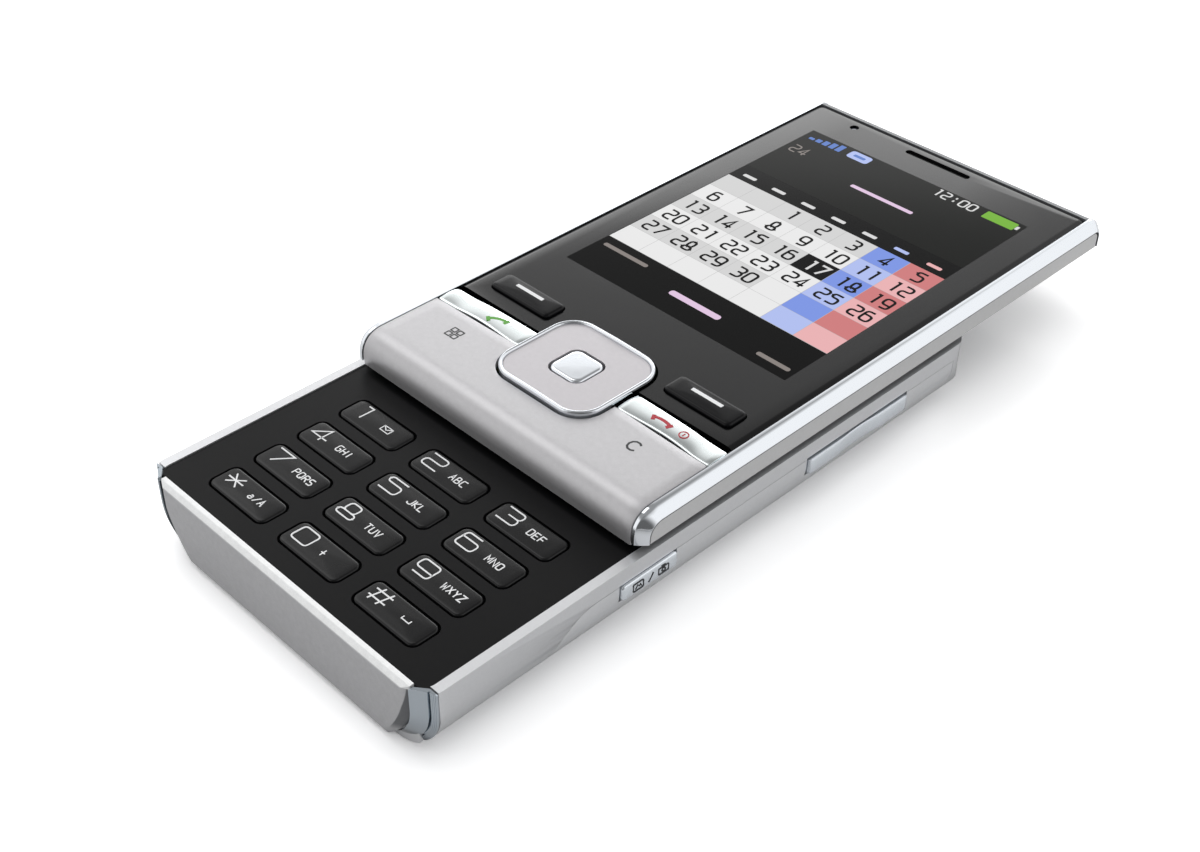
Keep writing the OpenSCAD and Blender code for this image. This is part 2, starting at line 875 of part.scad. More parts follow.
// The rail's profile is given by across, from its inner face, and deep, from its crown.
module side_rail(side) {
    flat = 0.45;
    chamfer = 1.15;
    foot_z = under_z + 0.55;
    across = [0, 0, flat, rail_w, rail_w];
    deep = [rail_t, 0, 0, chamfer, rail_t];
    corners = [0 : 4];
    nose_mid = nose_y + nose_round;
    tail_mid = tail_y - tail_round;
    color("#dde4ec")
        flip(side) {
            along_y(nose_mid, tail_mid)
                polygon([for (i = corners) [rail_x + across[i], glass_z - deep[i]]]);
            translate([0, nose_mid, glass_z - nose_round])
                rail_turn(90)
                    polygon([for (i = corners) [nose_round - deep[i], rail_x + across[i]]]);
            translate([0, tail_mid, glass_z - tail_round])
                rail_turn(0)
                    polygon([for (i = corners) [tail_round - deep[i], rail_x + across[i]]]);
            translate([0, 0, foot_z])
                linear_extrude(height = glass_z - nose_round - foot_z)
                    polygon([for (i = corners) [rail_x + across[i], nose_y + deep[i]]]);
            translate([0, 0, foot_z])
                linear_extrude(height = glass_z - tail_round - foot_z)
                    polygon([for (i = corners) [rail_x + across[i], tail_y - deep[i]]]);
            // a core that runs on through both turns
            difference() {
                intersection() {
                    along_x(rail_x + 0.1, rail_x + flat - 0.1)
                        upper_length(0.2);
                    span([0, nose_y, foot_z + 0.2], [half_w, tail_y, glass_z]);
                }
                along_x(0, half_w)
                    upper_length(rail_t - 0.2);
            }
        }
}

// A quarter turn about an axis along X, from start degrees round from +Y towards +Z.
module rail_turn(start) {
    rotate([90, 0, 90])
        rotate([0, 0, start])
            rotate_extrude(angle = 90)
                children();
}
module side_rail_left() { side_rail(-1); }
module side_rail_right() { side_rail(1); }

// The grey plate under each rail, stepped so that a dark line shows between them.
module side_plate(side) {
    step = 0.2;
    line_x = half_w - 0.5;
    color("#a9a8a6")
        flip(side) {
            side_band(rail_x, line_x, rail_t);
            side_band(line_x, half_w - 0.1, rail_t + step);
        }
}
module side_band(low_x, high_x, inset) {
    intersection() {
        along_x(low_x, high_x)
            upper_length(inset);
        span([-half_w, nose_y, tray_z], [half_w, tail_y, glass_z]);
    }
}
module side_plate_left() { side_plate(-1); }
module side_plate_right() { side_plate(1); }

// The hole that the navigation key stands in.
module nav_window() {
    translate([0, nav_y, tray_z + 1])
        rounded_plate(nav_w + 2 * nav_gap, nav_l + 2 * nav_gap, nav_round + nav_gap, upper_h + 1);
}

module display_window() {
    glass_x = rail_x - 0.1;
    color("#3a3c40")
        difference() {
            translate([0, (glass_front_y + glass_rear_y) / 2, window_z])
                rounded_plate(2 * glass_x, glass_rear_y - glass_front_y, 0.6, glass_t);
            nav_window();
            for (side = [-1, 1])
                translate([side * soft_x, soft_y, window_z - cut])
                    rounded_plate(soft_w + 0.3, soft_l + 0.3, 0.85, glass_t + 2 * cut);
            translate([0, ear_y, window_z - cut])
                rounded_plate(ear_w, ear_l, ear_l / 2 - 0.01, glass_t + 2 * cut);
        }
}

module display_module() {
    color("#15161a")
        translate([0, picture_y, tray_z])
            rounded_plate(picture_w + 2 * module_side, module_l, 0.5, window_z - tray_z - 0.05);
}

module front_panel() {
    side_x = rail_x - panel_gap;
    lip_low = under_z + 0.12;
    web = 0.35;
    peg_low = panel_board_z + panel_board_t + dome_t + 0.28;
    color("#b4b4b6")
        difference() {
            union() {
                difference() {
                    intersection() {
                        along_x(-side_x, side_x)
                            upper_length(0);
                        span([-half_w, nose_y, lip_low], [half_w, panel_rear_y, glass_z + 1]);
                    }
                    intersection() {
                        along_x(-half_w, half_w)
                            upper_length(panel_t);
                        span([-half_w, nose_y, under_z - cut], [half_w, panel_rear_y + cut, glass_z]);
                    }
                }
                // pivot bar under the panel and the web that holds it
                translate([0, 0, rock_z])
                    bar_y(rock_r, rock_posts[0] - 0.4, rock_posts[1] + 0.4);
                span([-web, rock_posts[0] + 0.6, rock_z], [web, rock_posts[1] - 0.6, glass_z - panel_t + 0.1]);
                for (x = [-band_x, band_x])
                    translate([x, panel_peg_y, 0])
                        bar_z(0.8, peg_low, glass_z - panel_t + 0.1);
            }
            nav_window();
        }
}

module panel_board() {
    color("#2c5a3c") {
        difference() {
            span([1.6 - rail_x, rock_posts[1] + 0.6, panel_board_z],
                 [rail_x - 1.6, room_front_y - 0.1, panel_board_z + panel_board_t]);
            // slots for the gimbal's posts and for the lugs under the pad
            for (turn = [0, 90, 180, 270])
                translate([0, nav_y, panel_board_z - cut])
                    rotate([0, 0, turn])
                        span([gimbal_in - 0.1, -0.9, 0], [gimbal_out + 0.1, 0.9, 2]);
        }
        for (at = [[-band_x, panel_peg_y], [band_x, panel_peg_y], [-band_x, band_peg_y], [band_x, band_peg_y],
                   [-soft_x, soft_y], [soft_x, soft_y],
                   [0, nav_y], [-tilt_peg, nav_y], [tilt_peg, nav_y], [0, nav_y - tilt_peg], [0, nav_y + tilt_peg]])
            translate([at[0], at[1], panel_board_z + panel_board_t])
                cylinder(r1 = 1.1, r2 = 0.7, h = dome_t);
    }
}

// The chrome key beside the navigation key: a cap, a lip under the glass and a peg.
module band_key(side) {
    low_x = nav_w / 2 + nav_gap + 0.15;
    high_x = rail_x - 0.15;
    front = panel_rear_y + 0.25;
    lip_low = window_z - 0.45;
    color("#eef1f4")
        flip(side)
            difference() {
                union() {
                    span([low_x, front, lip_low], [high_x, band_rear_y, glass_z]);
                    span([low_x, front, lip_low], [high_x - 1, band_rear_y + 0.7, window_z - 0.05]);
                    translate([band_x, band_peg_y, 0])
                        bar_z(0.8, panel_board_z + panel_board_t + dome_t + 0.28, window_z);
                }
                nav_window();
            }
}
module call_key() { band_key(-1); }
module end_key() { band_key(1); }

module soft_key(side) {
    lip_low = window_z - 0.45;
    rise = 0.6;
    color("#1b1c1f")
        translate([side * soft_x, soft_y, 0]) {
            translate([0, 0, lip_low])
                rounded_plate(soft_w, soft_l, 0.7, glass_z + rise - lip_low);
            translate([0, 0, lip_low])
                rounded_plate(soft_w + 1, soft_l + 2 * soft_skirt, 1.1, window_z - 0.05 - lip_low);
            bar_z(0.8, panel_board_z + panel_board_t + dome_t + 0.28, window_z);
        }
}
module soft_key_left() { soft_key(-1); }
module soft_key_right() { soft_key(1); }

// ---------------------------------------------------------------- navigation key

module nav_gimbal() {
    ring_out = 7.2;
    ring_in = 6.4;
    ring_h = 0.6;
    color("#7d8084")
        translate([0, nav_y, 0]) {
            translate([0, 0, gimbal_z - ring_h / 2])
                difference() {
                    rounded_plate(ring_out, ring_out, 1, ring_h);
                    translate([0, 0, -cut])
                        rounded_plate(ring_in, ring_in, 0.6, ring_h + 2 * cut);
                }
            for (turn = [0, 90, 180, 270])
                rotate([0, 0, turn])
                    translate([0, 0, gimbal_z])
                        bar_x(pin_r, ring_out / 2 - 0.3, gimbal_out);
        }
}

module nav_pad() {
    seat = 0.4;
    pad_low = window_z - 0.35;
    top = glass_z + 0.3;
    color("#bdbdbf")
        translate([0, nav_y, 0])
            difference() {
                union() {
                    translate([0, 0, pad_low])
                        rounded_plate(nav_w - 2 * nav_skirt, nav_l - 2 * nav_skirt, nav_round - 0.2, seat);
                    translate([0, 0, pad_low])
                        rounded_plate(nav_w - 2 * ring_t - 0.04, nav_l - 2 * ring_t - 0.04,
                                      nav_round - ring_t, top - pad_low);
                    for (side = [-1, 1])
                        flip_y(side)
                            span([-0.8, gimbal_in, gimbal_z - 0.6], [0.8, gimbal_out, pad_low + 0.1]);
                    for (turn = [0, 90, 180, 270])
                        rotate([0, 0, turn])
                            translate([tilt_peg, 0, 0])
                                bar_z(0.5, panel_board_z + panel_board_t + dome_t + 0.3, pad_low + 0.1);
                }
                translate([0, 0, gimbal_z])
                    bar_y(pin_r + fit, -gimbal_out - cut, gimbal_out + cut);
                translate([0, 0, pad_low - cut])
                    rounded_plate(select_w + 0.5, select_w + 0.5, 1.45, top);
            }
}

module nav_ring() {
    low = window_z - 0.35 + 0.4;
    color("#e9edf1")
        translate([0, nav_y, low])
            difference() {
                rounded_plate(nav_w, nav_l, nav_round, glass_z + nav_rise - low);
                translate([0, 0, -cut])
                    rounded_plate(nav_w - 2 * ring_t, nav_l - 2 * ring_t, nav_round - ring_t, upper_h);
            }
}

module select_key() {
    pad_low = window_z - 0.35;
    flange_top = pad_low - 0.05;
    color("#e4e9ee")
        translate([0, nav_y, 0]) {
            translate([0, 0, flange_top - 0.3])
                rounded_plate(select_w + 1.2, select_w + 1.2, 1.6, 0.3);
            translate([0, 0, flange_top - 0.3])
                rounded_plate(select_w, select_w, 1.2, glass_z + 0.5 - flange_top + 0.3);
            bar_z(1, panel_board_z + panel_board_t + dome_t + 0.28, pad_low);
        }
}

// ---------------------------------------------------------------- beside the earpiece

module earpiece() {
    color("#2b2c2f") {
        translate([0, ear_y, tray_z])
            rounded_plate(ear_w + 3, ear_body_l, 0.5, window_z - tray_z);
        translate([0, ear_y, window_z - 0.1])
            rounded_plate(ear_w - 0.1, ear_l - 0.1, ear_l / 2 - 0.06, glass_t);
    }
}

module call_camera() {
    color("#101114") {
        translate([-14.5, ear_y, tray_z])
            rounded_plate(3.2, 2.8, 0.4, 1.6);
        translate([-14.5, ear_y, 0])
            bar_z(1, tray_z, window_z - 0.05);
    }
}

base_frame();
key_plate();
chin_cap();
corner_trim_left();
corner_trim_right();
battery_cover();
battery();
main_board();
shield_cans();
keypad_domes();
keypad_mat();
for (i = [0 : len(digits) - 1])
    number_key(i);
camera_key();
volume_rocker();
side_switches();
rear_camera();
photo_light();
sounder();
antenna();
sim_holder();
card_slot();
system_connector();
vibration_motor();
chassis_screws();
slide_rail_plate();
slide_springs();
flex_cable();
slide_runner();
runner_screws();
upper_frame();
display_window();
display_module();
side_rail_left();
side_rail_right();
side_plate_left();
side_plate_right();
front_panel();
panel_board();
call_key();
end_key();
soft_key_left();
soft_key_right();
nav_gimbal();
nav_pad();
nav_ring();
select_key();
earpiece();
call_camera();
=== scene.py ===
"""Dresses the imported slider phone: its visible shells, keys, legends, screen and finishes.

Shapes are worked out in millimetres in the frame of the part and put down in metres: +X is the phone's
right side, +Y runs from the keypad to the earpiece, +Z is up, and Z = 0 is the surface that it lies on.
"""

import logging
import math
from collections.abc import Iterable, Sequence
from dataclasses import dataclass, field
from enum import Enum

import bmesh
import bpy
import numpy as np
from mathutils import Matrix, Vector
from mathutils.geometry import delaunay_2d_cdt


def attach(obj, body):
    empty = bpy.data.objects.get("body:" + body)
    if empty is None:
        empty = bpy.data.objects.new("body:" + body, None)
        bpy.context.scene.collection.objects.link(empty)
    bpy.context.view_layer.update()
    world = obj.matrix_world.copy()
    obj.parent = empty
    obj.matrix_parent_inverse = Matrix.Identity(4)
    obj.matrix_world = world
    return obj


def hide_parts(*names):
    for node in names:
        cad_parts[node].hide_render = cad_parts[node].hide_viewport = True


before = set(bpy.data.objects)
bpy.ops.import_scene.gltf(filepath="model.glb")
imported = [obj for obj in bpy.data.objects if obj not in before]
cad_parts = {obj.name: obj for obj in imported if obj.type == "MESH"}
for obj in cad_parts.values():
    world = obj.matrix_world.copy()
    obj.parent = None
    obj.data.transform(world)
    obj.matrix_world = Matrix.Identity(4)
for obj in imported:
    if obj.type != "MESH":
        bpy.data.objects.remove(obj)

LOG = logging.getLogger("slider_phone")
MM = 0.001
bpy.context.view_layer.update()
BLACK, WHITE = (0.0, 0.0, 0.0, 1.0), (1.0, 1.0, 1.0, 1.0)
SIDES = {-1: "left", 1: "right"}
MIRROR = np.array([-1.0, 1.0])
Pair, Triple, Socket = tuple[float, float], tuple[float, float, float], bpy.types.NodeSocket

WELD, WELD_COPY = 2e-7, 1e-6        # metres within which points of a new mesh and of a node's copy are joined
LEAST_ARC = 0.03                    # millimetres that a corner keeps as it is drawn in
SHARPEST = 0.45                     # cosine at which a stroke's corner stops growing
SOFTENED = 0.24                     # how far a figure's corners are softened, as a share of its height
LAYER = 0.0008                      # millimetres that each later stroke of a figure lies higher


# ------------------------------------------------------------------ the part's own sizes

@dataclass(frozen=True)
class Sizes:
    """The sizes in millimetres that the shells and keys share with the part."""

    # Lower half: half width, front, rim and radius of the long lower edges.
    half_w: float = 24.0
    front_y: float = -43.5
    rim_z: float = 10.0
    side_round: float = 7.0
    # Upper half: front, rear, top, underside of the window, inner side of the rails, radii of both ends.
    nose_y: float = -14.2
    tail_y: float = 72.6
    glass_z: float = 14.7
    window_z: float = 13.5
    rail_x: float = 22.4
    nose_round: float = 3.2
    tail_round: float = 2.4
    # Navigation key: middle, width, length and corner radius.
    nav_y: float = -0.45
    nav_w: float = 15.6
    nav_l: float = 14.2
    nav_round: float = 3.6
    # Front and rear edges of the call and end keys and of the window.
    band_front_y: float = -2.05
    band_rear_y: float = 1.25
    glass_front_y: float = 1.45
    glass_rear_y: float = 70.3
    # Middles of the earpiece, the call camera and the rear camera.
    ear: Pair = (0.0, 68.1)
    call_lens: Pair = (-14.5, 68.1)
    rear_lens: Pair = (-12.0, 35.6)


S = Sizes()


# ------------------------------------------------------------------ shader groups

class Wiring:
    """Adds nodes to one shader tree and joins them."""

    def __init__(self, tree: bpy.types.NodeTree) -> None:
        """Keeps the tree that the nodes go into."""
        self.tree = tree

    def feed(self, node: bpy.types.Node, inputs: dict) -> None:
        """Gives a node's inputs, by name or number, a value or the socket that feeds them."""
        for key, value in inputs.items():
            if isinstance(value, Socket):
                self.tree.links.new(value, node.inputs[key])
            else:
                node.inputs[key].default_value = value

    def node(self, kind: str, inputs: dict | None = None, **settings: object) -> bpy.types.Node:
        """Adds one node.

        Args:
            kind: The node's type name without its leading ShaderNode.
            inputs: Values or output sockets by input name or number.
            settings: Plain settings of the node.

        Returns:
            The new node.
        """
        made = self.tree.nodes.new(f"ShaderNode{kind}")
        for key, value in settings.items():
            setattr(made, key, value)
        self.feed(made, inputs or {})
        return made

    def place(self) -> Socket:
        """Returns the object coordinates."""
        return self.node("TexCoord").outputs["Object"]

    def part(self, vector: object, axis: str) -> Socket:
        """Returns one coordinate of a vector."""
        return self.node("SeparateXYZ", {0: vector}).outputs[axis]

    def maths(self, operation: str, first: object, second: object = 0.0,
              clamp: bool = False) -> Socket:
        """Adds a Math node and returns its value."""
        return self.node("Math", {0: first, 1: second}, operation=operation, use_clamp=clamp).outputs[0]

    def vector(self, operation: str, first: object, second: object = (0.0, 0.0, 0.0)) -> Socket:
        """Adds a Vector Math node and returns its vector, or its value where the result is one number."""
        key = "Scale" if operation == "SCALE" else 1
        made = self.node("VectorMath", {0: first, key: second}, operation=operation)
        return made.outputs["Value" if operation in ("LENGTH", "DISTANCE", "DOT_PRODUCT") else "Vector"]

    def ramp(self, value: object, start: float, end: float, low: float = 0.0, high: float = 1.0,
             kind: str = "SMOOTHSTEP") -> Socket:
        """Adds a Map Range node that leads from low at start to high at end, and returns its result."""
        return self.node("MapRange", {0: value, 1: start, 2: end, 3: low, 4: high},
                         interpolation_type=kind).outputs[0]

    def blend(self, factor: object, first: object, second: object) -> Socket:
        """Adds a colour Mix node and returns its colour."""
        return self.node("Mix", {0: factor, 6: first, 7: second}, data_type="RGBA").outputs[2]


def start_group(name: str, inputs: dict[str, object], outputs: Sequence[str]) -> tuple:
    """Starts a shader node group.

    Args:
        name: The group's name.
        inputs: Start value of each input: one number, three for a vector or four for a colour.
        outputs: The outputs' names. Colour is a colour and the others are numbers.

    Returns:
        The group, its wiring, its input node's sockets and its output node.
    """
    kinds = {1: "NodeSocketFloat", 3: "NodeSocketVector", 4: "NodeSocketColor"}
    tree = bpy.data.node_groups.new(name, "ShaderNodeTree")
    for label, value in inputs.items():
        made = tree.interface.new_socket(name=label, in_out="INPUT", socket_type=kinds[np.size(value)])
        made.default_value = value
    for label in outputs:
        kind = kinds[4 if label == "Colour" else 1]
        tree.interface.new_socket(name=label, in_out="OUTPUT", socket_type=kind)
    return tree, Wiring(tree), tree.nodes.new("NodeGroupInput").outputs, tree.nodes.new("NodeGroupOutput")


def make_grain_group() -> bpy.types.NodeTree:
    """Builds the fine grain of paint, moulding and brushed steel.

    Two noises, one fine and one ten times coarser, shift the colour and the roughness about their mean,
    and the fine one gives the height. Stretch scales the pattern along each axis.

    Returns:
        The node group, with Colour, Roughness and Height.
    """
    tree, wire, given, out = start_group(
        "FineGrain", {"Colour": (0.5, 0.5, 0.5, 1.0), "Scale": 9000.0, "Stretch": (1.0, 1.0, 1.0),
                      "Contrast": 0.1, "Rough": 0.4, "Spread": 0.05}, ("Colour", "Roughness", "Height"))
    place = wire.vector("MULTIPLY", wire.place(), given["Stretch"])
    fine = wire.node("TexNoise", {"Vector": place, "Scale": given["Scale"], "Detail": 2.0,
                                  "Roughness": 0.6}).outputs[0]
    coarse = wire.node("TexNoise", {"Vector": place, "Scale": wire.maths("MULTIPLY", given["Scale"], 0.1),
                                    "Detail": 1.0}).outputs[0]
    both = wire.maths("ADD", wire.maths("MULTIPLY", fine, 0.7), wire.maths("MULTIPLY", coarse, 0.3))
    shift = wire.maths("SUBTRACT", both, 0.5)
    shade = wire.maths("MULTIPLY", shift, wire.maths("MULTIPLY", given["Contrast"], 2.0))
    wear = wire.maths("MULTIPLY", shift, wire.maths("MULTIPLY", given["Spread"], 2.0))
    wire.feed(out, {"Colour": wire.vector("SCALE", given["Colour"], wire.maths("ADD", shade, 1.0)),
                    "Roughness": wire.maths("ADD", given["Rough"], wear, True), "Height": fine})
    return tree


def make_smudge_group() -> bpy.types.NodeTree:
    """Builds the faint smears that handling leaves on glass and chrome.

    A warped noise is cut to its upper part, and its strength is added to the roughness.

    Returns:
        The node group, with Roughness and Mask.
    """
    tree, wire, given, out = start_group(
        "HandlingSmears", {"Rough": 0.05, "Strength": 0.05, "Scale": 60.0}, ("Roughness", "Mask"))
    smear = wire.node("TexNoise", {"Vector": wire.place(), "Scale": given["Scale"], "Detail": 3.0,
                                   "Distortion": 1.2}).outputs[0]
    mask = wire.maths("MULTIPLY", wire.maths("SUBTRACT", smear, 0.48), 3.0, True)
    added = wire.maths("MULTIPLY", mask, given["Strength"])
    wire.feed(out, {"Roughness": wire.maths("ADD", given["Rough"], added, True), "Mask": mask})
    return tree


GRAIN = make_grain_group()
SMUDGE = make_smudge_group()


# ------------------------------------------------------------------ finishes

def linear(code: str) -> tuple[float, float, float, float]:
    """Turns a colour of six hex digits in sRGB into linear red, green, blue and alpha."""
    parts = np.array([int(code[i:i + 2], 16) for i in (0, 2, 4)]) / 255.0
    value = np.where(parts <= 0.04045, parts / 12.92, ((parts + 0.055) / 1.055) ** 2.4)
    return (*value.tolist(), 1.0)


@dataclass(frozen=True)
class Finish:
    """A surface finish with fine grain; its material is built once and then shared.

    Attributes:
        name: The material's name.
        colour: The colour as six hex digits.
        rough: Mean roughness.
        metallic: How far the surface is a metal.
        scale: Grain scale per metre.
        contrast: How far the grain shifts the colour.
        spread: How far the grain shifts the roughness.
        bump: Height of the grain in metres.
        stretch: Scale of the grain along each axis.
        coat: Weight of the clear coat.
        coat_rough: Roughness of the clear coat.
        shine: Specular level, 0.5 for common plastic and paint.
    """

    name: str
    colour: str
    rough: float = 0.4
    metallic: float = 0.0
    scale: float = 9000.0
    contrast: float = 0.08
    spread: float = 0.05
    bump: float = 0.000004
    stretch: Triple = (1.0, 1.0, 1.0)
    coat: float = 0.0
    coat_rough: float = 0.05
    shine: float = 0.5

    def material(self) -> bpy.types.Material:
        """Returns the finish's material, and builds it on the first call."""
        found = bpy.data.materials.get(self.name)
        if found is not None:
            return found
        made = bpy.data.materials.new(self.name)
        made.use_nodes = True
        made.node_tree.nodes.clear()
        wire = Wiring(made.node_tree)
        shader = wire.node("BsdfPrincipled", {"Metallic": self.metallic, "Coat Weight": self.coat,
                                              "Coat Roughness": self.coat_rough,
                                              "Specular IOR Level": self.shine})
        wire.node("OutputMaterial", {0: shader.outputs[0]})
        self.dress(wire, shader)
        return made

    def base(self, wire: Wiring) -> object:
        """Returns the colour that the grain varies: one colour, or a pattern added to the wiring."""
        return linear(self.colour)

    def dress(self, wire: Wiring, shader: bpy.types.Node) -> None:
        """Leads the grain into the shader.

        Args:
            wire: The material's wiring.
            shader: Its Principled node.
        """
        grain = wire.node("Group", node_tree=GRAIN)
        wire.feed(grain, {"Scale": self.scale, "Stretch": self.stretch, "Contrast": self.contrast,
                          "Rough": self.rough, "Spread": self.spread, "Colour": self.base(wire)})
        bump = wire.node("Bump", {"Distance": self.bump, "Strength": 1.0, "Height": grain.outputs["Height"]})
        wire.feed(shader, {"Base Color": grain.outputs["Colour"], "Roughness": grain.outputs["Roughness"],
                           "Normal": bump.outputs[0]})


@dataclass(frozen=True)
class Polished(Finish):
    """Chrome, glass and gloss plastic: smooth, with faint smears of handling.

    Attributes:
        smears: How much rougher a smear is.
    """

    smears: float = 0.05

    def dress(self, wire: Wiring, shader: bpy.types.Node) -> None:
        """Leads the smears and a trace of colour shift into the shader."""
        smudge = wire.node("Group", node_tree=SMUDGE)
        wire.feed(smudge, {"Rough": self.rough, "Strength": self.smears, "Scale": self.scale})
        dim = wire.maths("MULTIPLY", smudge.outputs["Mask"], self.contrast)
        wire.feed(shader, {"Base Color": wire.blend(dim, self.base(wire), BLACK),
                           "Roughness": smudge.outputs["Roughness"]})


@dataclass(frozen=True)
class Lit(Finish):
    """A lit part of the picture, seen through the gloss of the window.

    Attributes:
        glow: Strength of the light.
        bare: Grey level of the unlit surface.
        sheen: Specular level of its gloss.
        smears: How much rougher a smear is, and the scale of the smears.
    """

    glow: float = 0.96
    bare: float = 0.003
    sheen: float = 0.035
    smears: Pair = (0.03, 60.0)

    def dress(self, wire: Wiring, shader: bpy.types.Node) -> None:
        """Leads the colour, broken into faint dots of light, into the emission."""
        dots = wire.node("TexVoronoi", {"Vector": wire.place(), "Scale": self.scale, "Randomness": 0.0},
                         voronoi_dimensions="2D").outputs["Distance"]
        gain = wire.maths("SUBTRACT", 1.0 + self.contrast / 2.0, wire.maths("MULTIPLY", dots, self.contrast))
        smudge = wire.node("Group", node_tree=SMUDGE)
        wire.feed(smudge, {"Rough": self.rough, "Strength": self.smears[0], "Scale": self.smears[1]})
        wire.feed(shader, {"Emission Color": wire.vector("SCALE", self.base(wire)[:3], gain),
                           "Roughness": smudge.outputs["Roughness"],
                           "Base Color": (self.bare, self.bare, self.bare, 1.0),
                           "Emission Strength": self.glow, "Specular IOR Level": self.sheen})


@dataclass(frozen=True)
class Shaded(Polished):
    """Chrome that darkens towards its foot, where it mirrors its own shadow.

    Attributes:
        foot: The foot's colour as six hex digits.
        span: Heights in millimetres between which it changes.
    """

    foot: str = "23262a"
    span: Pair = (0.8, 3.6)

    def base(self, wire: Wiring) -> Socket:
        """Returns the colour, blended from the foot's between the two heights of span."""
        share = wire.ramp(wire.part(wire.place(), "Z"), self.span[0] * MM, self.span[1] * MM)
        return wire.blend(share, linear(self.foot), linear(self.colour))


@dataclass(frozen=True)
class Edged(Finish):
    """The chin's finish: a painted highlight on its top edge and painted shade on the chamfers at its ends.

    Attributes:
        edge: Colour of the painted highlight on the top edge.
        edge_z: Height in millimetres where the painted highlight starts.
        ends: Colour of the painted shade on the ends.
        line: Start of the ends in millimetres from the middle at the rim, with its lean and its bow.
        fade: Heights in millimetres between which the painted shade on the ends sets in.
        steep: How fast the painted shade on the ends and the painted highlight on the edge set in, per metre.
    """

    edge: str = "eceded"
    edge_z: float = 9.48
    ends: str = "66676a"
    line: Triple = (21.0, 0.10, 0.035)
    fade: Pair = (1.3, 3.6)
    steep: Pair = (9000.0, 12000.0)

    def base(self, wire: Wiring) -> Socket:
        """Returns the colour, blended to the ends' painted shade and then to the edge's painted highlight.

        The start of the ends moves inwards by the lean times the depth below the rim and by the bow times
        that depth's square.
        """
        x, z = (wire.part(wire.place(), axis) for axis in "XZ")
        start, lean, bow = self.line
        depth = wire.maths("SUBTRACT", S.rim_z * MM, z)
        slope = wire.maths("ADD", wire.maths("MULTIPLY", depth, bow / MM), lean)
        reach = wire.maths("SUBTRACT", start * MM, wire.maths("MULTIPLY", depth, slope))
        past = wire.maths("SUBTRACT", wire.maths("ABSOLUTE", x), reach)
        # Painted shade on the end chamfers, then the painted highlight on the top edge.
        ends = wire.maths("MULTIPLY", wire.maths("MULTIPLY", past, self.steep[0], True),
                          wire.ramp(z, self.fade[0] * MM, self.fade[1] * MM))
        over = wire.maths("MULTIPLY", wire.maths("SUBTRACT", z, self.edge_z * MM), self.steep[1], True)
        body = wire.blend(ends, linear(self.colour), linear(self.ends))
        return wire.blend(over, body, linear(self.edge))


@dataclass(frozen=True)
class Board(Finish):
    """Solder resist over copper tracks: straight lines of a lighter green with round pads.

    Attributes:
        track: Colour of the tracks.
        pad: Colour of the pads.
    """

    track: str = "4f8a57"
    pad: str = "b9a35a"

    def base(self, wire: Wiring) -> Socket:
        """Returns green crossed by the tracks and dotted with pads."""
        place, green = wire.place(), linear(self.colour)
        tracks = wire.node("TexBrick", {"Vector": place, "Scale": 420.0, "Mortar Size": 0.02, "Color1": green,
                                        "Color2": green, "Mortar": linear(self.track)}).outputs["Color"]
        pads = wire.node("TexVoronoi", {"Vector": place, "Scale": 500.0}, voronoi_dimensions="2D")
        inside = wire.maths("LESS_THAN", pads.outputs["Distance"], 0.16)
        return wire.blend(inside, tracks, linear(self.pad))


@dataclass(frozen=True)
class Wrap(Finish):
    """The battery's printed wrap: a dark field with a paler band and thin rules across it.

    Attributes:
        band: The band's colour.
        rule: The rules' colour.
    """

    band: str = "8f9aa6"
    rule: str = "a9adb2"

    def base(self, wire: Wiring) -> Socket:
        """Returns the dark field with its band and, in front, its rules, from the place along Y in metres."""
        along = wire.part(wire.place(), "Y")
        band = wire.maths("LESS_THAN", wire.maths("ABSOLUTE", wire.maths("SUBTRACT", along, 0.022)), 0.004)
        rules = wire.maths("LESS_THAN", wire.maths("FRACT", wire.maths("MULTIPLY", along, 400.0)), 0.12)
        front = wire.maths("MULTIPLY", rules, wire.maths("LESS_THAN", along, 0.006))
        banded = wire.blend(band, linear(self.colour), linear(self.band))
        return wire.blend(front, banded, linear(self.rule))


@dataclass(frozen=True)
class Optic(Finish):
    """A coated lens: near black, with bluish rings that are painted reflections.

    Attributes:
        centre: Middle of the lens in millimetres.
        ring: Radians that the rings turn per metre, divided by six.
        tint: Colour of the rings' painted reflections.
    """

    centre: Pair = (0.0, 0.0)
    ring: float = 1000.0
    tint: str = "1a2636"

    def base(self, wire: Wiring) -> Socket:
        """Returns the tint of the painted ring reflections from the distance to the lens's middle."""
        flat = wire.vector("MULTIPLY", wire.place(), (1.0, 1.0, 0.0))
        away = wire.vector("DISTANCE", flat, (self.centre[0] * MM, self.centre[1] * MM, 0.0))
        wave = wire.maths("SINE", wire.maths("MULTIPLY", away, self.ring * 6.0))
        share = wire.maths("ADD", wire.maths("MULTIPLY", wave, 0.5), 0.5)
        return wire.blend(share, linear(self.colour), linear(self.tint))


# Name, colour, roughness, metal, grain scale, contrast, spread, bump and stretch.
SILVER = Finish("silver_body_satin", "e1e2e4", 0.30, 0.75, 26000.0, 0.10, 0.05, 0.0000012)
COVER = Finish("silver_cover_satin", "e6e7e9", 0.30, 0.75, 26000.0, 0.10, 0.05, 0.0000012)
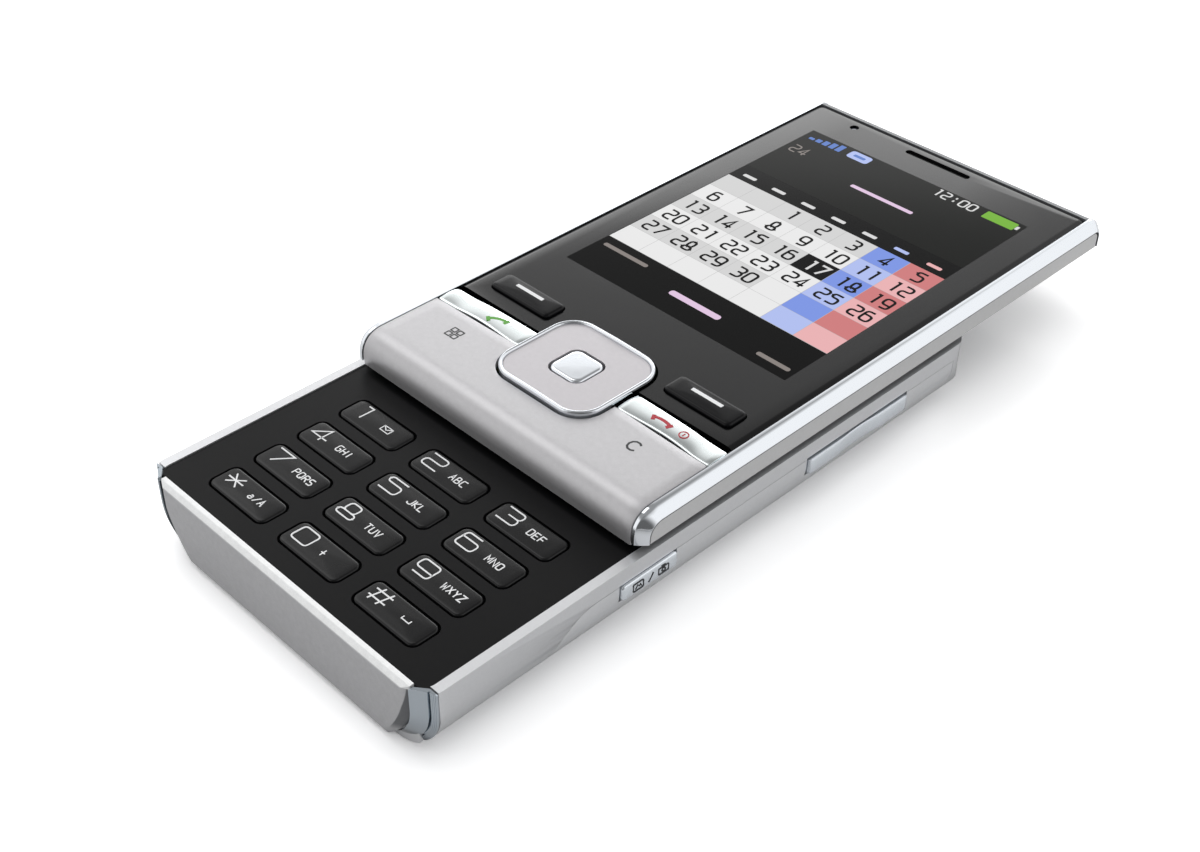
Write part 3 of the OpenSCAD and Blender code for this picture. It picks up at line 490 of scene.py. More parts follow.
# The chin's finish paints a highlight on its top edge and shade on its end chamfers.
CHIN = Edged("chin_grained_grey", "bebec0", 0.44, 0.35, 15000.0, 0.26, 0.06, 0.000004)
PLATE = Finish("key_plate_satin_black", "0b0b0c", 0.32, 0.0, 14000.0, 0.25, 0.06, 0.000002, shine=0.14)
PANEL = Finish("panel_grained_silver", "c2c1c3", 0.42, 0.65, 15000.0, 0.20, 0.06, 0.000004)
PAD = Finish("nav_pad_satin_silver", "c2bfc2", 0.38, 0.55, 16000.0, 0.14, 0.05, 0.000003)
SIDE = Finish("side_plate_satin_grey", "d6d6d6", 0.34, 0.70, 18000.0, 0.12, 0.05, 0.000002)
FRAME = Finish("upper_frame_satin_grey", "7e8083", 0.42, 0.55, 15000.0, 0.16, 0.05, 0.000003)
SIDE_KEY = Finish("side_key_bright_silver", "eef4fa", 0.22, 0.85, 20000.0, 0.08, 0.04, 0.000001)
STEEL = Finish("stamped_steel", "a9acb0", 0.34, 0.95, 2500.0, 0.16, 0.08, 0.000004, (1.0, 0.06, 1.0))
SPRING = Finish("spring_steel", "c3c6c9", 0.24, 1.0, 5000.0, 0.10, 0.05, 0.000002, (0.1, 1.0, 1.0))
SCREW = Finish("dark_plated_screws", "5a5d61", 0.32, 0.95, 9000.0, 0.20, 0.08, 0.000004)
DOME = Finish("dome_film", "d8d5c8", 0.45, 0.1, 6000.0, 0.10, 0.06, 0.000003, coat=0.3)
SILICONE = Finish("grey_silicone", "5d5f63", 0.6, 0.0, 5000.0, 0.16, 0.06, 0.000006)
FILM = Finish("amber_film", "b0701c", 0.35, 0.0, 3000.0, 0.22, 0.06, 0.000003, (0.05, 1.0, 1.0), coat=0.4)
MOULDED = Finish("moulded_dark_plastic", "202124", 0.48, 0.0, 9000.0, 0.2, 0.06, 0.000006)
MOTOR = Finish("plated_motor_can", "c9a860", 0.28, 0.95, 6000.0, 0.14, 0.06, 0.000003)
DARK_MARK = Finish("dark_grey_print", "2a2b2d", 0.5, 0.0, 20000.0, 0.12, 0.05, 0.0000005)
KEY_PRINT = Finish("pale_key_print", "e2e3e4", 0.5, 0.0, 20000.0, 0.06, 0.04, 0.0000005)
GREEN_MARK = Finish("green_handset_print", "4f9a26", 0.4, 0.0, 20000.0, 0.10, 0.04, 0.0000005)
RED_MARK = Finish("red_handset_print", "a81c2c", 0.4, 0.0, 20000.0, 0.10, 0.04, 0.0000005)
CHROME = Polished("chrome_trim", "e3e9f0", 0.07, 1.0, 90.0, 0.05, smears=0.06)
CORNER = Shaded("corner_chrome", "bcc4cb", 0.12, 1.0, 90.0, 0.05, smears=0.06)
CHROME_KEY = Polished("chrome_key_faces", "f2f8f8", 0.14, 1.0, 70.0, 0.04, smears=0.05)
KEY_BLACK = Polished("satin_gloss_black_keys", "0d0d0e", 0.24, 0.0, 80.0, 0.3, shine=0.32, smears=0.06)
GLASS = Polished("smoked_window", "080809", 0.16, 0.0, 45.0, 0.2, shine=0.35, smears=0.04)
SOFT_BLACK = Polished("gloss_black_soft_keys", "08080a", 0.2, 0.0, 80.0, 0.3, shine=0.2, smears=0.06)
SLOT_BLACK = Polished("slot_black", "050506", 0.4, 0.0, 200.0, 0.2, smears=0.1)
LIGHT_LENS = Polished("photo_light_lens", "e8e4cf", 0.16, 0.0, 300.0, 0.1, coat=1.0, smears=0.08)
BOARD = Board("solder_resist", "2c5f3b", 0.3, 0.1, 6000.0, 0.10, 0.05, 0.000006, coat=0.4)
WRAP = Wrap("battery_wrap", "3a3d42", 0.42, 0.0, 9000.0, 0.08, 0.05, 0.000002, coat=0.25)
REAR_OPTIC = Optic("rear_lens_coating", "07070a", 0.1, 0.0, coat=1.0, coat_rough=0.02, centre=S.rear_lens)
CALL_OPTIC = Optic("call_lens_coating", "07070a", 0.1, 0.0, coat=1.0, coat_rough=0.02, centre=S.call_lens)


# ------------------------------------------------------------------ meshes

def xyz(*coordinates: object) -> np.ndarray:
    """Stacks coordinates, stretched to one shape, along a new last axis."""
    return np.stack(np.broadcast_arrays(*coordinates), axis=-1)


def quarter(facets: int) -> np.ndarray:
    """Angles from nothing to a right angle, one more than the facets between them."""
    return np.linspace(0.0, np.pi / 2, facets + 1)


@dataclass
class Shell:
    """Points and faces gathered for one piece, in millimetres.

    Attributes:
        points: Arrays of points.
        faces: Each face's point numbers.
        count: How many points there are.
    """

    points: list[np.ndarray] = field(default_factory=list)
    faces: list[list[int]] = field(default_factory=list)
    count: int = 0

    def keep(self, points: np.ndarray) -> np.ndarray:
        """Adds points.

        Args:
            points: An array whose last axis is X, Y, Z.

        Returns:
            Their numbers, in the array's shape without its last axis.
        """
        flat = np.asarray(points, float).reshape(-1, 3)
        numbers = np.arange(self.count, self.count + len(flat)).reshape(np.shape(points)[:-1])
        self.points.append(flat)
        self.count += len(flat)
        return numbers

    def grid(self, points: np.ndarray, round_rows: bool = False) -> np.ndarray:
        """Joins a grid of points with quads: point (i, j) to (i, j + 1), (i + 1, j + 1) and (i + 1, j).

        Args:
            points: Rows by columns by 3. The last column joins the first.
            round_rows: Whether the last row joins the first.

        Returns:
            The points' numbers.
        """
        numbers = self.keep(points)
        rows = np.concatenate([numbers, numbers[:1]]) if round_rows else numbers
        near = np.concatenate([rows, rows[:, :1]], axis=1)
        quads = np.stack([near[:-1, :-1], near[:-1, 1:], near[1:, 1:], near[1:, :-1]], axis=-1)
        self.faces += quads.reshape(-1, 4).tolist()
        return numbers

    def solid(self, rings: np.ndarray) -> "Shell":
        """Joins closed rings into a solid: a wall through the rings and a flat face on the first and last.

        Args:
            rings: Rings by points by 3.

        Returns:
            This shell.
        """
        numbers = self.grid(rings)
        self.faces += [numbers[0][::-1].tolist(), numbers[-1].tolist()]
        return self

    def sheet(self, loops: Sequence[np.ndarray], height: float) -> None:
        """Fills flat loops at one height: the first is the outline and the others are holes.

        Args:
            loops: Arrays of X, Y.
            height: The Z of the sheet.
        """
        sizes = [len(loop) for loop in loops]
        starts = np.cumsum([0] + sizes[:-1])
        rows = [list(range(start, start + size)) for start, size in zip(starts, sizes)]
        flat = [Vector(point) for point in np.concatenate(loops).tolist()]
        filled = delaunay_2d_cdt(flat, [], rows, 2, 1e-6)
        numbers = self.keep(np.array([(*vector, height) for vector in filled[0]]))
        self.faces += numbers[np.array(filled[2])].tolist()

    def piece(self, name: str, finish: Finish, body: str, slot: str, replaces: Iterable[str] = (),
              sharp: float = 38.0) -> None:
        """Turns the points and faces into a finished piece.

        Args:
            name: The piece's name.
            finish: Its finish.
            body: The body that it rides on.
            slot: The record's material slot; not used.
            replaces: The part's nodes that it stands for.
            sharp: Edges that turn more than this many degrees stay sharp.
        """
        mesh = bpy.data.meshes.new(name)
        mesh.from_pydata((np.concatenate(self.points) * MM).tolist(), [], self.faces)
        dress_mesh(mesh, finish, sharp)
        settle(name, mesh, body, replaces)


def dress_mesh(mesh: bpy.types.Mesh, finish: Finish, sharp: float, copied: bool = False) -> None:
    """Welds a mesh, shades it smooth but for its sharp edges and gives it its finish.

    A copy of a node has its flat facets joined, and any other mesh has its faces turned outwards.

    Args:
        mesh: The mesh.
        finish: Its finish.
        sharp: Edges that turn more than this many degrees stay sharp.
        copied: Whether it is a copy of a node.
    """
    work = bmesh.new()
    work.from_mesh(mesh)
    bmesh.ops.remove_doubles(work, verts=work.verts, dist=WELD_COPY if copied else WELD)
    if copied:
        bmesh.ops.dissolve_limit(work, angle_limit=math.radians(0.8), verts=work.verts, edges=work.edges)
    else:
        bmesh.ops.dissolve_degenerate(work, edges=work.edges, dist=1e-7)
        bmesh.ops.recalc_face_normals(work, faces=work.faces)
    work.to_mesh(mesh)
    work.free()
    mesh.shade_smooth()
    mesh.set_sharp_from_angle(angle=math.radians(sharp))
    mesh.materials.append(finish.material())


def placed(name: str, data: bpy.types.ID) -> bpy.types.Object:
    """Makes an object of a mesh, a lamp or a camera and links it to the scene."""
    obj = bpy.data.objects.new(name, data)
    bpy.context.scene.collection.objects.link(obj)
    return obj


def settle(name: str, mesh: bpy.types.Mesh, body: str,
           replaces: Iterable[str]) -> bpy.types.Object:
    """Makes a piece, lets it ride on its body and what it stands for, and reports it."""
    obj = placed(name, mesh)
    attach(obj, body)
    if replaces:
        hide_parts(*replaces)
    LOG.info("piece %s on %s, %d faces", name, body, len(mesh.polygons))
    return obj


def carried(node: str, name: str, finish: Finish, body: str, edge: float) -> None:
    """Copies a node of the part, rounds the copy's edges and lets it stand for the node.

    Args:
        node: The node's name.
        name: The new piece's name.
        finish: Its finish.
        body: The body that it rides on.
        edge: Radius of its edges in millimetres.
    """
    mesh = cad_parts[node].data.copy()
    mesh.name = name
    mesh.materials.clear()
    dress_mesh(mesh, finish, 32.0, True)
    bevel = settle(name, mesh, body, (node,)).modifiers.new("edges", "BEVEL")
    bevel.width, bevel.segments, bevel.harden_normals = edge * MM, 2, True
    bevel.limit_method, bevel.angle_limit = "ANGLE", math.radians(40.0)


def rings(width: float, length: float, radius: float, levels: Sequence[Sequence[float]],
          at: Pair = (0.0, 0.0), steps: int = 7) -> np.ndarray:
    """Rings of a rounded rectangle, each drawn in by its inset at its height.

    A point is the middle of its corner's arc plus the arc's radius along the angle. The arc's radius is the
    outer radius less the inset, and its middle lies that far inside both sides.

    Args:
        width: Size along X.
        length: Size along Y.
        radius: Corner radius.
        levels: Inset and height of each ring.
        at: Middle of the rectangle.
        steps: Facets of each corner.

    Returns:
        Levels by points by 3.
    """
    angle = np.concatenate([quarter(steps) + corner * np.pi / 2 for corner in range(4)])
    side_x = np.repeat([1.0, -1.0, -1.0, 1.0], steps + 1)
    side_y = np.repeat([1.0, 1.0, -1.0, -1.0], steps + 1)
    inset, height = np.asarray(levels, float).T[:, :, None]
    arc = np.maximum(radius - inset, LEAST_ARC)
    half_x = np.maximum(width / 2 - inset - arc, 0.0)
    half_y = np.maximum(length / 2 - inset - arc, 0.0)
    return xyz(at[0] + side_x * half_x + arc * np.cos(angle),
               at[1] + side_y * half_y + arc * np.sin(angle), height)


def loop(width: float, length: float, radius: float, at: Pair) -> np.ndarray:
    """Flat outline of a rounded rectangle, as X and Y."""
    return rings(width, length, radius, [[0.0, 0.0]], at)[0, :, :2]


def bend_over(low: float, top: float, edge: float, facets: int = 5) -> np.ndarray:
    """Levels of a wall that stands from low and bends inwards in a quarter circle to top."""
    bend = quarter(facets)
    return np.concatenate([[[0.0, low]], xyz(edge * (1 - np.cos(bend)), top - edge * (1 - np.sin(bend)))])


def crown(low: float, top: float, edge: float, rise: float, half: float, count: int) -> np.ndarray:
    """Levels of a key that has a round edge and a crowned face.

    Inside the edge the face rises towards the middle, as one less the square of the share of the way left.

    Args:
        low: Height of the foot.
        top: Height of the middle of the face.
        edge: Radius of the edge.
        rise: How far the face rises from its edge to its middle.
        half: Half the key's shorter side.
        count: Rings across the face.

    Returns:
        Rows of inset and height.
    """
    share = np.linspace(0.0, 1.0, count + 1)[1:]
    face = xyz(edge + (half - 0.02 - edge) * share, top - rise * (1 - share) ** 2)
    return np.concatenate([bend_over(low, top - rise, edge, 4), face])


def domed(levels: np.ndarray, rise: float, count: int = 6) -> np.ndarray:
    """Adds a crowned face to rings: copies of the last ring that shrink about its middle.

    A point rises by the rise times one less the square of its share of the half width, times one less the
    square of its share of the half length.

    Args:
        levels: Rings by points by 3.
        rise: Height of the middle over the last ring.
        count: Rings across the face.

    Returns:
        All rings by points by 3.
    """
    last = levels[-1]
    middle = (last.max(0) + last.min(0)) / 2
    half = (last.max(0) - last.min(0)) / 2
    face = middle + (last - middle)[None] * (1 - np.linspace(0.0, 0.985, count + 1)[1:, None, None])
    share = (face[..., :2] - middle[:2]) / half[:2]
    face[..., 2] += rise * np.prod(1 - share ** 2, axis=-1)
    return np.concatenate([levels, face])


def upper_outline(inset: np.ndarray, foot_z: float) -> np.ndarray:
    """Lengthwise outlines of the upper half: up the nose, along the top and down the tail.

    The bends are superellipses about the middles of the nose's and the tail's rounds.

    Args:
        inset: How far each outline is drawn in.
        foot_z: Height of both ends.

    Returns:
        Insets by stations by Y and Z: the foot, 17 points of the nose, the top, the tail and its foot.
    """
    inset, bend, power = inset[:, None], quarter(16), 2 / 2.3
    nose, tail = S.nose_round - inset, S.tail_round - inset
    nose_y = S.nose_y + S.nose_round - nose * np.cos(bend) ** power
    nose_z = S.glass_z - S.nose_round + nose * np.sin(bend) ** power
    tail_y = S.tail_y - S.tail_round + tail * np.cos(bend[::-1]) ** power
    tail_z = S.glass_z - S.tail_round + tail * np.sin(bend[::-1]) ** power
    along = np.linspace(S.nose_y + S.nose_round, S.tail_y - S.tail_round, 41)[1:-1]
    flat = xyz(along, S.glass_z - inset)
    feet = np.full(inset.shape, foot_z)
    y = np.concatenate([nose_y[:, :1], nose_y, flat[..., 0], tail_y, tail_y[:, -1:]], axis=1)
    return xyz(y, np.concatenate([feet, nose_z, flat[..., 1], tail_z, feet], axis=1))


# ------------------------------------------------------------------ strokes: legends, marks and figures

# Each part of a figure is = for a straight line, - for a softened one or o for a softened loop, and then the
# points as pairs of digits, 0 to 6 across and 0 to 8 up.
GLYPHS: dict[str, str] = {
    "0": "o00606808", "1": "=284840", "2": "-086864040060", "3": "-08686424 -24646000", "4": "=40480262",
    "5": "-680805656000", "6": "-580800606505", "7": "=086820", "8": "o13535818 o00606303",
    "9": "-106068080363", "*": "=0464 =1157 =1751", "#": "=1028 =4058 =0262 =0666", "+": "=0464 =3038",
    "/": "=0068", ":": "=3133 =3537", "a": "-155550000353", "A": "=003860 =1353",
    "B": "=0008 -08585404 -04646000", "C": "-68080060", "D": "=0008 -08686000", "E": "=68080060 =0454",
    "F": "=680800 =0454", "G": "-6808006064 =6434", "H": "=0008 =6068 =0464", "I": "=3038", "J": "-68600002",
    "K": "=0008 =680460", "L": "=080060", "M": "=0008336860", "N": "=00086068", "O": "o00606808",
    "P": "=0008 -08686404", "Q": "o00606808 =4260", "R": "=0008 -08686404 =3460", "S": "-680804646000",
    "T": "=0868 =3830", "U": "-08006068", "V": "=083068", "W": "=0810355068", "X": "=0068 =0860",
    "Y": "=083468 =3430", "Z": "=08680060",
}


def square(x0: float, y0: float, x1: float, y1: float) -> list[Pair]:
    """Returns a rectangle's four corners, from its least and greatest X and Y."""
    return [(x0, y0), (x1, y0), (x1, y1), (x0, y1)]


# Each line of a mark: whether it is a loop, how far its corners are softened, and its points.
ICONS: dict[str, list[tuple[bool, float, list[Pair]]]] = {
    "frame": [(True, 0.12, square(-0.75, -0.5, 0.75, 0.5)),
              (False, 0.0, [(-0.45, -0.25), (-0.1, 0.2), (0.15, -0.1), (0.3, 0.1), (0.5, -0.25)])],
    "lens": [(True, 0.12, square(-0.75, -0.5, 0.75, 0.35)), (True, 0.25, square(-0.25, -0.32, 0.25, 0.18)),
             (False, 0.0, [(-0.3, 0.52), (0.3, 0.52)])],
    "slash": [(False, 0.0, [(-0.35, -0.5), (0.35, 0.5)])],
    "letter": [(True, 0.02, square(-0.75, -0.45, 0.75, 0.45)),
               (False, 0.0, [(-0.72, 0.42), (0.0, -0.1), (0.72, 0.42)])],
    "clear": [(False, 0.0, [(0.36, 0.34), (0.12, 0.49), (-0.16, 0.47), (-0.37, 0.3), (-0.45, 0.0),
                            (-0.37, -0.3), (-0.16, -0.47), (0.12, -0.49), (0.36, -0.34)])],
    "space": [(False, 0.0, [(-0.6, 0.25), (-0.6, -0.2), (0.6, -0.2), (0.6, 0.25)])],
    "squares": [(True, 0.03, square(x, y, x + 0.42, y + 0.42)) for x in (-0.5, 0.08) for y in (-0.5, 0.08)],
}


class Align(Enum):
    """Where a line of figures stands on its anchor."""

    LEFT = 0.0
    MIDDLE = 0.5
    RIGHT = 1.0


def soften(corners: np.ndarray, radius: float, closed: bool) -> np.ndarray:
    """Rounds the corners of a line.

    Each corner becomes a parabola from a point on one arm to a point on the other, both at most radius and at
    most half the arm away.

    Args:
        corners: Points by 2.
        radius: How far from a corner its bend starts.
        closed: Whether the line comes back to its start.

    Returns:
        The bent line's points.
    """
    ends = []
    for turn in (1, -1):
        arm = np.roll(corners, turn, 0) - corners
        reach = np.linalg.norm(arm, axis=1, keepdims=True)
        ends.append(corners + arm * (np.minimum(radius, reach / 2) / np.maximum(reach, 1e-9)))
    start, end = ends
    t = np.linspace(0.0, 1.0, 6)[None, :, None]
    bent = (1 - t) ** 2 * start[:, None] + 2 * t * (1 - t) * corners[:, None] + t ** 2 * end[:, None]
    if closed:
        return bent.reshape(-1, 2)
    return np.concatenate([corners[:1], bent[1:-1].reshape(-1, 2), corners[-1:]])


def ribbon(shell: Shell, line: np.ndarray, width: float, low: float, top: float,
           closed: bool = False) -> None:
    """Carries a flat bar's section along a line and adds it as a solid.

    The section's sides lie half the width to the left and right of the line, along the mean of the normals of
    the two arms at each point, lengthened at a corner so that the bar keeps its width.

    Args:
        shell: Where the solid goes.
        line: Points by 2.
        width: The bar's width.
        low: Height of its underside.
        top: Height of its face.
        closed: Whether the line comes back to its start.
    """
    step = np.roll(line, -1, 0) - line
    if not closed:
        step[-1] = step[-2]
    step /= np.maximum(np.linalg.norm(step, axis=1), 1e-9)[:, None]
    back = np.roll(step, 1, 0)
    if not closed:
        back[0] = step[0]
    normal = xyz(-(step + back)[:, 1], (step + back)[:, 0])
    normal /= np.maximum(np.linalg.norm(normal, axis=1), 1e-9)[:, None]
    facing = np.maximum(normal[:, 0] * -step[:, 1] + normal[:, 1] * step[:, 0], SHARPEST)
    side = normal * (width / 2 / facing)[:, None]
    across = np.stack([line - side, line - side, line + side, line + side], axis=1)
    section = xyz(across[..., 0], across[..., 1], [low, top, top, low])
    if closed:
        shell.grid(section, round_rows=True)
    else:
        shell.solid(section)


def write(shell: Shell, text: str, at: Pair, height: float, stroke: float, low: float,
          top: float, width: float, space: float, align: Align = Align.MIDDLE, slant: float = 0.0) -> None:
    """Draws a line of figures in single strokes.

    Args:
        shell: Where the strokes go.
        text: The figures.
        at: Anchor on the line's middle height.
        height: Height of a figure.
        stroke: Width of the strokes.
        low: Height of the strokes' underside.
        top: Height of their face. Each later stroke of a figure lies a little higher.
        width: A figure's width as a share of its height.
        space: Gap between figures as a share of the height.
        align: Where the line stands on its anchor.
        slant: Shift to the right over a figure's height, as a share of it.
    """
    pitch = (width + space) * height
    start = at[0] - align.value * (pitch * len(text) - space * height)
    for place, figure in enumerate(text):
        for number, part in enumerate(GLYPHS[figure].split()):
            line = np.array([int(digit) for digit in part[1:]], float).reshape(-1, 2) / (6.0, 8.0)
            line = xyz((line[:, 0] * width + line[:, 1] * slant) * height + start + place * pitch,
                       at[1] + (line[:, 1] - 0.5) * height)
            if part[0] != "=":
                line = soften(line, SOFTENED * height, part[0] == "o")
            ribbon(shell, line, stroke, low, top + LAYER * number, part[0] == "o")


def write_icon(shell: Shell, kind: str, at: Pair, size: float, stroke: float,
               low: float = 0.0, top: float = 0.06) -> None:
    """Draws one of the small plain marks.

    Args:
        shell: Where the strokes go.
        kind: Its name in ICONS.
        at: Its middle.
        size: Its height.
        stroke: Width of its strokes.
        low: Height of the strokes' underside.
        top: Height of their face.
    """
    for closed, radius, corners in ICONS[kind]:
        line = np.array(corners) * size
        if radius:
            line = soften(line, radius * size, closed)
        ribbon(shell, line + np.array(at), stroke, low, top, closed)


def tile(shell: Shell, box: Sequence[float], low: float, top: float, radius: float) -> None:
    """Adds a flat tile with rounded corners, given by its least and greatest X and Y."""
    x0, y0, x1, y1 = box
    shell.solid(rings(x1 - x0, y1 - y0, radius, [[0.0, low], [0.0, top]], ((x0 + x1) / 2, (y0 + y1) / 2), 3))


# ------------------------------------------------------------------ lower half

@dataclass
class LowerHalf:
    """The keypad half: silver body, chin, chrome corners, black key plate and the side keys.

    Attributes:
        chin_x: Half width of the chin.
        chin_t: Thickness of the chin.
        chin_low: Height of the chin's underside.
        bevel: Height of the bevel along the chin's top edge, where the chin's finish paints a highlight.
        chamfer: Width of the chamfer at its ends.
        trim_rear: Y of the chrome corners' rear.
        plate: Underside and top of the fillers at the key plate's corners.
        camera_key: Middle and length of the camera key along Y.
        volume: Middle and length of the volume rocker along Y.
        side_key_z: Middle height of both.
        side_key_h: Their height.
        side_key_root: X of their inner ends.
        side_key_out: X of their outer faces.
        waist: Depth and half length of the hollow in the middle of the rocker.
    """

    chin_x: float = 21.3
    chin_t: float = 1.1
    chin_low: float = 0.02
    bevel: float = 0.55
    chamfer: float = 0.95
    trim_rear: float = -41.66
    plate: Pair = (9.0, 9.845)
    camera_key: Pair = (-13.0, 8.4)
    volume: Pair = (22.0, 18.0)
    side_key_z: float = 6.75
    side_key_h: float = 2.1
    side_key_root: float = 21.05
    side_key_out: float = 24.45
    waist: Pair = (0.25, 3.9)

    def corner_line(self, inset: float) -> tuple[np.ndarray, np.ndarray]:
        """Front view of the right corner, from the rim down the side and round to the underside.

        Each point lies inside the body's outline, along its normal, by the inset times a width. The width is
        one down the straight side, and over the round it falls to nothing as the 3.5th power of the angle.

        Args:
            inset: Inset in millimetres at the rim.

        Returns:
            The points as X and Z, five on the side and sixteen on the round, and the widths.
        """
        angle = quarter(15)
        width = 1 - (angle / (np.pi / 2)) ** 3.5
        reach = S.side_round - inset * width
        bend = xyz(S.half_w - S.side_round + reach * np.cos(angle), S.side_round - reach * np.sin(angle))
        side = xyz(S.half_w - inset, np.linspace(S.rim_z, S.side_round, 6)[:-1])
        return np.concatenate([side, bend]), np.concatenate([np.ones(5), width])

    def outwards(self, line: np.ndarray) -> np.ndarray:
        """Returns a corner line's normals: level down the side, then away from the middle of the round."""
        away = line - [S.half_w - S.side_round, S.side_round]
        away[:6] = [1.0, 0.0]
        return away / np.linalg.norm(away, axis=1)[:, None]

    def chin(self) -> None:
        """Builds the chin as rings of its front view, from its rear to its front face.

        The outline runs down the right corner's inner line, along the underside and up the left one. The last
        rings draw in along the chamfer: by one amount at the corners, a lesser one at the top edge.
        """
        line, _ = self.corner_line(S.half_w - self.chin_x)
        line[:, 1] = np.maximum(line[:, 1], self.chin_low)
        under = xyz(np.linspace(16.0, -16.0, 9), self.chin_low)
        top = xyz(np.linspace(-20.0, 20.0, 9), S.rim_z)
        inward = -self.outwards(line) * self.chamfer
        inward[0, 1] = -self.bevel
        outline = np.concatenate([line, under, line[::-1] * MIRROR, top])
        pull = np.concatenate([inward, np.tile([0.0, self.chamfer], (9, 1)), inward[::-1] * MIRROR,
                               np.tile([0.0, -self.bevel], (9, 1))])
        steps = np.array([[0.0, self.chin_t], [0.0, 0.56], [0.1, 0.46], [0.9, 0.06], [1.0, 0.02],
                          [1.25, 0.0]])
        flat = outline[None] + pull[None] * steps[:, :1, None]
        solid = xyz(flat[..., 0], S.front_y + steps[:, 1:], flat[..., 1])
        Shell().solid(solid).piece("chin_face", CHIN, "lower_half", "grey_chin", ("chin_cap",), 24.0)

    def trim(self, side: int) -> None:
        """Builds one chrome corner: its section carried down the side and round to the underside.

        The section goes from the body's outline over a striated edge band, a groove, the broad facet and a
        roll down to the chin. Its insets and its depth shrink with the width of the corner line.

        Args:
            side: 1 for the right corner and -1 for the left.
        """
        band = np.linspace(0.12, 0.68, 8)
        ridges = xyz(band, -41.92 - (band - 0.12) * 0.5 + 0.06 * (np.arange(8) % 2))
        section = np.concatenate([[[0.0, self.trim_rear], [0.0, -41.84]], ridges,
                                  [[0.72, -41.96], [0.86, -41.98], [0.9, -42.3], [2.1, -42.98],
                                   [2.32, -43.16], [2.5, -43.32], [2.56, -43.2], [2.56, -42.8],
                                   [1.1, self.trim_rear]]])
        outer, width = self.corner_line(0.0)
        width = width[:, None]
        inset = section[:, 0] * width - 0.03 * (width < 0.999)
        flat = outer[:, None] - self.outwards(outer)[:, None] * inset[..., None]
        depth = (section[:, 1] - self.trim_rear) * (0.3 + 0.7 * width)
        points = xyz(side * flat[..., 0], self.trim_rear + depth, np.maximum(flat[..., 1], 0.0))
        middle = points[0].mean(0)
        head = np.stack([points[0], points[0]])
        head[0] += (middle - head[0]) * [0.14, 0.14, 0.0]
        head[:, :, 2] = [[S.rim_z], [S.rim_z - 0.16]]
        word = SIDES[side]
        Shell().solid(np.concatenate([head, points[1:]])).piece(
            f"corner_chrome_{word}", CORNER, "lower_half", "chrome_trim", (f"corner_trim_{word}",), 24.0)

    def plate_corners(self) -> None:
        """Fills the key plate's two cut corners up to the chrome, flush with the plate."""
        corner = np.array([[21.3, -42.4], [22.2, -42.3], [22.8, -41.7], [22.8, -41.5], [21.3, -41.5]])
        shell = Shell()
        for side in (1, -1):
            x, y = (corner * [side, 1.0])[::side].T
            shell.solid(xyz(x, y, np.array(self.plate)[:, None]))
        shell.piece("plate_corners", PLATE, "lower_half", "black_plate")

    def camera_parts(self) -> None:
        """Builds the camera key, a bar whose outer face has rounded edges, and the marks on that face."""
        middle, length = self.camera_key
        reach = self.side_key_out - 0.05 - self.side_key_root
        flat = rings(length, self.side_key_h, 0.55, crown(0.0, reach, 0.3, 0.06, self.side_key_h / 2, 4),
                     steps=5)
        Shell().solid(xyz(self.side_key_root + flat[..., 2], middle + flat[..., 0],
                          self.side_key_z + flat[..., 1])).piece(
            "camera_key_face", SIDE_KEY, "camera_key", "silver_keys", ("camera_key",))
        marks = Shell()
        for kind, place in (("frame", -1.9), ("lens", 1.9), ("slash", 0.0)):
            write_icon(marks, kind, (place, 0.0), 1.0, 0.13)
        marks.points = [xyz(self.side_key_out - 0.06 + up * 0.9, middle + along, self.side_key_z + over)
                        for along, over, up in (points.T for points in marks.points)]
        marks.piece("camera_key_marks", DARK_MARK, "camera_key", "silver_keys")

    def rocker(self) -> None:
        """Builds the volume rocker as its section carried along Y, with a waist and rounded ends."""
        middle, length = self.volume
        half, hollow = length / 2, self.waist
        y = np.concatenate([[-half], -half + np.array([0.12, 0.4]), np.linspace(-8.2, 8.2, 49),
                            half - np.array([0.4, 0.12]), [half]])
        end = np.interp(np.abs(y), [8.6, 8.88, 9.0], [0.0, 0.12, 0.4])
        scoop = hollow[0] * np.clip(1 - (y / hollow[1]) ** 2, 0.0, 1.0) + end
        out = np.array([0.0, 0.62, 0.84, 0.96, 1.0, 0.96, 0.84, 0.62, 0.0])
        over = np.array([-1.0, -1.0, -0.86, -0.55, 0.0, 0.55, 0.86, 1.0, 1.0])
        reach = (self.side_key_out - self.side_key_root - scoop)[:, None] * (0.9 + 0.1 * out) * (out > 0)
        z = self.side_key_z + (self.side_key_h / 2 - end * 0.3)[:, None] * over
        Shell().solid(xyz(self.side_key_root + reach, middle + y[:, None], z)).piece(
            "volume_rocker_face", SIDE_KEY, "volume_rocker", "silver_keys", ("volume_rocker",), 34.0)

    def build(self) -> None:
        """Builds the whole half but for its number keys."""
        carried("base_frame", "body_shell", SILVER, "lower_half", 0.16)
        carried("key_plate", "key_plate_face", PLATE, "lower_half", 0.05)
        carried("battery_cover", "battery_cover_shell", COVER, "battery_cover", 0.1)
        self.chin()
        for side in SIDES:
            self.trim(side)
        self.plate_corners()
        self.camera_parts()
        self.rocker()


# ------------------------------------------------------------------ number keys

